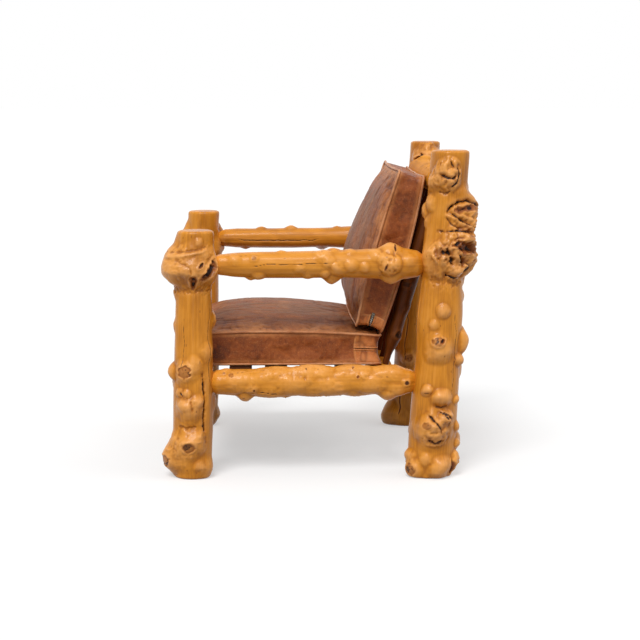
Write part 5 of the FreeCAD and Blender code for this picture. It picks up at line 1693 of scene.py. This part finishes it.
# %% [markdown]
# Each cushion has a placket: two panels of paler leather on the far boxing, with a return on each
# side, whose folded edges nearly meet over the zip. It could be painted on, but its front end is a
# real seam that catches the light. So it is a thin panel laid on the puffed boxing: the boxing's own
# grid, made four times finer by the rule that Subdivision Surface uses, and pushed out a little.


# %% Boxing by the zip
def finer(grid, axis):
    """Twice the points on one axis: halfway ones, and (before + 6 x itself + after) / 8 for the old."""
    grid = np.moveaxis(grid, axis, 0)
    kept = grid.copy()
    kept[1:-1] = (grid[:-2] + 6 * grid[1:-1] + grid[2:]) / 8
    full = np.empty((2 * len(grid) - 1, *grid.shape[1:]))
    full[::2] = kept
    full[1::2] = (grid[:-1] + grid[1:]) / 2
    return np.moveaxis(full, 0, axis)


class ZipWall:
    """The boxing where the zip runs: points by level and place, and the directions out of it."""

    def __init__(self, cushion):
        rings = boxings[cushion.name]
        v = cushion.local(rings[BOXING_LEVELS // 2])[:, 1]
        inside = v > cushion.half_v - cushion.zip_return
        start = int(np.flatnonzero(inside & ~np.roll(inside, 1))[0])
        points = np.roll(rings, -start, axis=1)[:, :int(inside.sum())]
        for _ in range(2):
            points = finer(finer(points, 0), 1)
        self.points = points
        self.out = unit(np.cross(np.gradient(points, axis=1), np.gradient(points, axis=0)))
        middle = points[len(points) // 2]
        distance = np.concatenate([[0], np.cumsum(np.linalg.norm(np.diff(middle, axis=0), axis=1))])
        self.height = np.linalg.norm(points[-1] - points[0], axis=1)
        self.from_end = np.minimum(distance, distance[-1] - distance)
        self.from_slider = distance[-1] - distance

    def at(self, share):
        """Points and outward directions at given shares of the height, by linear steps between levels."""
        place = np.clip(share, 0, 1) * (len(self.points) - 1)
        low = np.clip(place.astype(int), 0, len(self.points) - 2)
        part = (place - low)[..., None]
        column = np.arange(self.points.shape[1])
        low, column = np.broadcast_arrays(low, column)
        return (self.points[low, column] * (1 - part) + self.points[low + 1, column] * part,
                self.out[low, column] * (1 - part) + self.out[low + 1, column] * part)


def sheet_faces(rows, columns, turned):
    """Four-cornered faces of an open grid, row by row."""
    grid = np.arange(rows * columns).reshape(rows, columns)
    faces = np.stack([grid[:-1, :-1], grid[:-1, 1:], grid[1:, 1:], grid[1:, :-1]], -1).reshape(-1, 4)
    return faces[:, ::-1] if turned else faces


def joined(grids):
    """Several grids of points as one list, and their faces with the numbers moved on."""
    faces, first = [], 0
    for grid, turned in grids:
        faces.append(sheet_faces(*grid.shape[:2], turned) + first)
        first += grid.shape[0] * grid.shape[1]
    return np.concatenate([grid.reshape(-1, 3) for grid, _ in grids]), faces


# %% Placket
SLIDER_OPENING = 0.0042
SLIDER_RUNS = {"seat_cushion": 0.038, "back_cushion": 0.007}
OPEN_BEYOND_RUN = 0.015
SHUT_BEYOND_RUN = 0.024
PLACKET_RISE = 0.0016
LIP_RISE = 0.0012
LIP_MIDDLE = 0.0021
LIP_WIDTH = 0.0016
LIP_ROW = 0.0062
END_ROW = 0.0068
ROW_DEPTH = 0.0004
RIM_DEPTH = 0.0004
CREASE_DEPTH = 0.0007
WRINKLE_HEIGHT = 0.0006


def half_gaps(cushion, wall):
    """Half the slit between the panels: wide as far as the slider runs, the lips' own gap elsewhere."""
    run = SLIDER_RUNS[cushion.name]
    opened = smooth_step(run + SHUT_BEYOND_RUN, run + OPEN_BEYOND_RUN, wall.from_slider)
    return cushion.lip_gap + (SLIDER_OPENING - cushion.lip_gap) * opened


def placket_piece(cushion, wall):
    """Two panels from the seams to the slit: height x place grids, raised most in a lip beside the slit."""
    gap = half_gaps(cushion, wall)
    grids, worn, crease_shade = [], [], []
    for sign in (-1, 1):
        reach = np.linspace(0, 1, 29)[:, None] ** 1.6
        room = wall.height / 2 - gap
        to_lip = reach * room
        points, out = wall.at(0.5 + sign * (gap + to_lip) / wall.height)
        ends = smooth_step(0.0, 0.0035, wall.from_end)
        lip = bell(to_lip - LIP_MIDDLE, LIP_WIDTH)
        stitched = bell(to_lip - LIP_ROW, 0.0011)
        end_stitched = bell(wall.from_end - END_ROW, 0.0012)
        rims = ends * smooth_step(0.0, 0.0008, to_lip) * smooth_step(0.0, 0.003, room - to_lip)
        wrinkle = rough(points * np.array((0.8, 1.0, 1.6)), 0.030, 501 + sign, 2)
        crease = fold_lines(cushion.local(points) + 0.1 * sign, 0.045, (1.0, 0.8, 1.5), 503) * rims
        rise = (PLACKET_RISE + LIP_RISE * lip - ROW_DEPTH * (stitched + end_stitched)
                + WRINKLE_HEIGHT * wrinkle - CREASE_DEPTH * crease) * rims - RIM_DEPTH * (1 - rims)
        grids.append((points + out * rise[..., None], sign > 0))
        rim = bell(wall.from_end - 0.0032, 0.0012)
        seam = bell(wall.from_end, 0.0016)
        worn.append((0.25 + 0.5 * lip + 0.25 * wrinkle + 0.7 * rim).ravel())
        # The crease, the sunk stitch rows and the seam at the ends are marked for painted shade.
        crease_shade.append((crease + 0.6 * stitched + 1.3 * seam).ravel())
    points, faces = joined(grids)
    attributes = {"worn": np.clip(np.concatenate(worn), 0, 1), "crease_shade": np.clip(np.concatenate(crease_shade), 0, 1)}
    piece = mesh_piece(cushion.name + "_placket", points, faces, attributes)
    return finished(piece, placket_leather, "brown_leather", cushion.name)


walls = {cushion.name: ZipWall(cushion) for cushion in (seat, back)}
plackets = [placket_piece(cushion, walls[cushion.name]) for cushion in (seat, back)]
print("plackets", [len(piece.data.polygons) for piece in plackets])

# %% [markdown]
# Under the lips lies the closed zip: two cloth tapes and a row of small metal teeth from either
# side, which mesh in the middle. Each tooth is a block with a narrower nose, and all are one piece,
# repeated along the zip with numpy. The sliders keep their solids and get a wire pull each.


# %% Zips
TAPE_HALF_WIDTH = 0.0065
TAPE_RISE = 0.0007
TAPE_SUNK = 0.0003
BEAD_RISE = 0.0006
BEAD_MIDDLE = 0.0017
BEAD_WIDTH = 0.0008
TOOTH_PITCH = 0.0026
TOOTH_HALF_WIDTH = TOOTH_PITCH * 0.40
TOOTH_LENGTH = 0.0030
TOOTH_ROOT = 0.0022
TOOTH_RISE = 0.0012
TEETH_MARGIN = 0.004
SEEN_LEVEL = 0.0003
HIDDEN_LEVEL = -0.0014
WIRE_POINTS = 64
WIRE_SIDES = 10
WIRE_RADIUS = 0.0007
PULL_HALF_LENGTH = 0.0052
PULL_HALF_WIDTH = 0.0022
PULL_PLACE = 0.0055
PULL_STAND_OFF = 0.0047
PULL_DROP = 0.0040
PULL_LEAN = 0.0012
TOOTH_CORNERS = np.array([
    (x, y, z) for z in (0, 1) for x, y in ((-1, 0), (1, 0), (0.55, 1), (-0.55, 1))])
TOOTH_FACES = np.array([
    (0, 3, 2, 1), (4, 5, 6, 7), (0, 1, 5, 4), (1, 2, 6, 5), (2, 3, 7, 6), (3, 0, 4, 7)])


def sampled(stations, distance, values):
    """The rows of values at stations, by linear steps over the distance."""
    return np.stack([np.interp(stations, distance, column) for column in values.T], -1)


def repeated(faces, count, corners):
    """The faces of one small block, once for each of many blocks with the same number of corners."""
    return [(faces[None] + (np.arange(count) * corners)[:, None, None]).reshape(-1, faces.shape[1])]


def tape_piece(cushion, wall):
    """The tape: a strip 13 mm wide on the boxing, thickest beside the teeth."""
    across = np.linspace(-1, 1, 15)[:, None]
    points, out = wall.at(0.5 + across * TAPE_HALF_WIDTH / wall.height)
    bead = bell(np.abs(across) * TAPE_HALF_WIDTH - BEAD_MIDDLE, BEAD_WIDTH)
    rims = smooth_step(1.0, 0.85, np.abs(across)) * smooth_step(0.0, 0.003, wall.from_end)
    rise = (TAPE_RISE + BEAD_RISE * bead) * rims - TAPE_SUNK
    points, faces = joined([(points + out * rise[..., None], False)])
    piece = mesh_piece(cushion.name + "_zip_tape", points, faces)
    return finished(piece, zip_cloth, "zip_metal", cushion.name, f"{cushion.name}_zip")


def teeth_piece(cushion, wall):
    """Teeth at an even pitch along the zip, from above and below by turns."""
    middle, out = wall.at(np.full((1, len(wall.height)), 0.5))
    over, _ = wall.at(0.5 + 0.002 / wall.height[None])
    stations = np.arange(TEETH_MARGIN, wall.from_slider.max() - TEETH_MARGIN, TOOTH_PITCH)
    order = np.argsort(wall.from_slider)
    place, outward, above = [sampled(stations, wall.from_slider[order], values[0, order])
                             for values in (middle, out, over)]
    side = np.where(np.arange(len(stations)) % 2, 1.0, -1.0)[:, None]
    upward = unit(above - place) * side
    along = np.cross(upward, outward)
    level = SEEN_LEVEL if cushion.lip_gap > 0.001 else HIDDEN_LEVEL
    corner = TOOTH_CORNERS[None]
    points = (place[:, None] + along[:, None] * corner[..., :1] * TOOTH_HALF_WIDTH
              + upward[:, None] * (corner[..., 1:2] * TOOTH_LENGTH - TOOTH_ROOT)
              + outward[:, None] * (corner[..., 2:] * TOOTH_RISE + level))
    faces = repeated(TOOTH_FACES, len(stations), len(TOOTH_CORNERS))
    piece = mesh_piece(cushion.name + "_zip_teeth", points.reshape(-1, 3), faces, smooth=False)
    return finished(piece, zip_metal, "zip_metal", cushion.name)


def pull_piece(cushion, wall):
    """A wire loop through the slider's bridge: a round wire along a long oval that hangs down."""
    nearest = int(np.argmin(np.abs(wall.from_slider - PULL_PLACE)))
    points, out = wall.at(np.full((1, len(wall.height)), 0.5))
    outward = np.round(out[0, nearest])
    hang = np.array([0, 0, -1.0])
    beside = np.cross(outward, hang)
    angle = np.linspace(0, math.tau, WIRE_POINTS, endpoint=False)
    sine, cosine = np.sin(angle), np.cos(angle)
    long_way = PULL_HALF_LENGTH * np.sign(cosine) * np.abs(cosine) ** 0.7
    wide_way = PULL_HALF_WIDTH * sine * (1 - 0.25 * cosine)
    inwards = PULL_LEAN * (1 + cosine)
    centre = points[0, nearest] + outward * PULL_STAND_OFF + hang * PULL_DROP
    path = centre + np.outer(long_way, hang) + np.outer(wide_way, beside) - np.outer(inwards, outward)
    points, rings = round_tube(path, np.tile(outward, (len(path), 1)), WIRE_RADIUS, WIRE_SIDES)
    piece = mesh_piece(cushion.name + "_zip_pull", points, [rings])
    return finished(piece, dark_metal, "zip_metal", cushion.name.replace("cushion", "zip_slider"))


zips = []
for cushion in (seat, back):
    wall = walls[cushion.name]
    zips += [tape_piece(cushion, wall), teeth_piece(cushion, wall), pull_piece(cushion, wall)]
    refinished(cushion.name + "_zip_slider", dark_metal)
print("zips", [piece.name for piece in zips])

# %% [markdown]
# The thread shows as short pale stitches, slightly sunk, in a row beside each lip of a placket and
# across both its ends. A stitch is a stretched eight-sided grain, so hundreds of them cost little.

# %% Stitches
STITCH_PITCH = 0.0042
STITCH_RISE = 0.0011
STITCH_SIZE = np.array([0.0015, 0.00045, 0.00040])
STITCH_CORNERS = STITCH_SIZE * np.array([
    (1, 0, 0), (-1, 0, 0), (0, 1, 0), (0, -1, 0), (0, 0, 1), (0, 0, -1)])
STITCH_FACES = np.array([
    (0, 2, 4), (2, 1, 4), (1, 3, 4), (3, 0, 4), (2, 0, 5), (1, 2, 5), (3, 1, 5), (0, 3, 5)])
ROW_MARGIN = 0.004
ROW_CLEAR = 0.006


def stitches(path, outward):
    """Stitches at an even pitch along a path: grains laid along it, with their third side outwards."""
    steps = np.linalg.norm(np.diff(path, axis=0), axis=1)
    distance = np.concatenate([[0], np.cumsum(steps)])
    stations = np.arange(STITCH_PITCH / 2, distance[-1], STITCH_PITCH)
    place, out, along = [sampled(stations, distance, values)
                         for values in (path, outward, np.gradient(path, axis=0))]
    along = unit(along)
    across = np.cross(out, along)
    return (place[:, None] + along[:, None] * STITCH_CORNERS[:, :1]
            + across[:, None] * STITCH_CORNERS[:, 1:2] + out[:, None] * STITCH_CORNERS[:, 2:])


def stitch_piece(cushion, wall):
    """Rows beside both lips and up the placket's two ends."""
    gap = half_gaps(cushion, wall)
    inner = wall.from_end > ROW_MARGIN
    rows = []
    for sign in (-1, 1):
        points, out = wall.at(0.5 + sign * (gap[None] + LIP_ROW) / wall.height[None])
        rows.append(stitches((points + out * STITCH_RISE)[0, inner], out[0, inner]))
    share = np.linspace(0.06, 0.94, 40)[:, None] + np.zeros(len(wall.height))
    points, out = wall.at(share)
    for distance in (wall.from_slider, wall.from_slider.max() - wall.from_slider):
        column = int(np.argmin(np.abs(distance - END_ROW)))
        from_zip = share[:, column] - 0.5
        clear = np.abs(from_zip) * wall.height[column] > ROW_CLEAR
        for part in (clear & (from_zip < 0), clear & (from_zip > 0)):
            rows.append(stitches((points + out * STITCH_RISE)[part, column], out[part, column]))
    points = np.concatenate(rows)
    faces = repeated(STITCH_FACES, len(points), len(STITCH_CORNERS))
    piece = mesh_piece(cushion.name + "_stitches", points.reshape(-1, 3), faces)
    return finished(piece, pale_thread, "tan_piping", cushion.name)


stitching = [stitch_piece(cushion, walls[cushion.name]) for cushion in (seat, back)]
print("stitches", [len(piece.data.polygons) // len(STITCH_FACES) for piece in stitching])
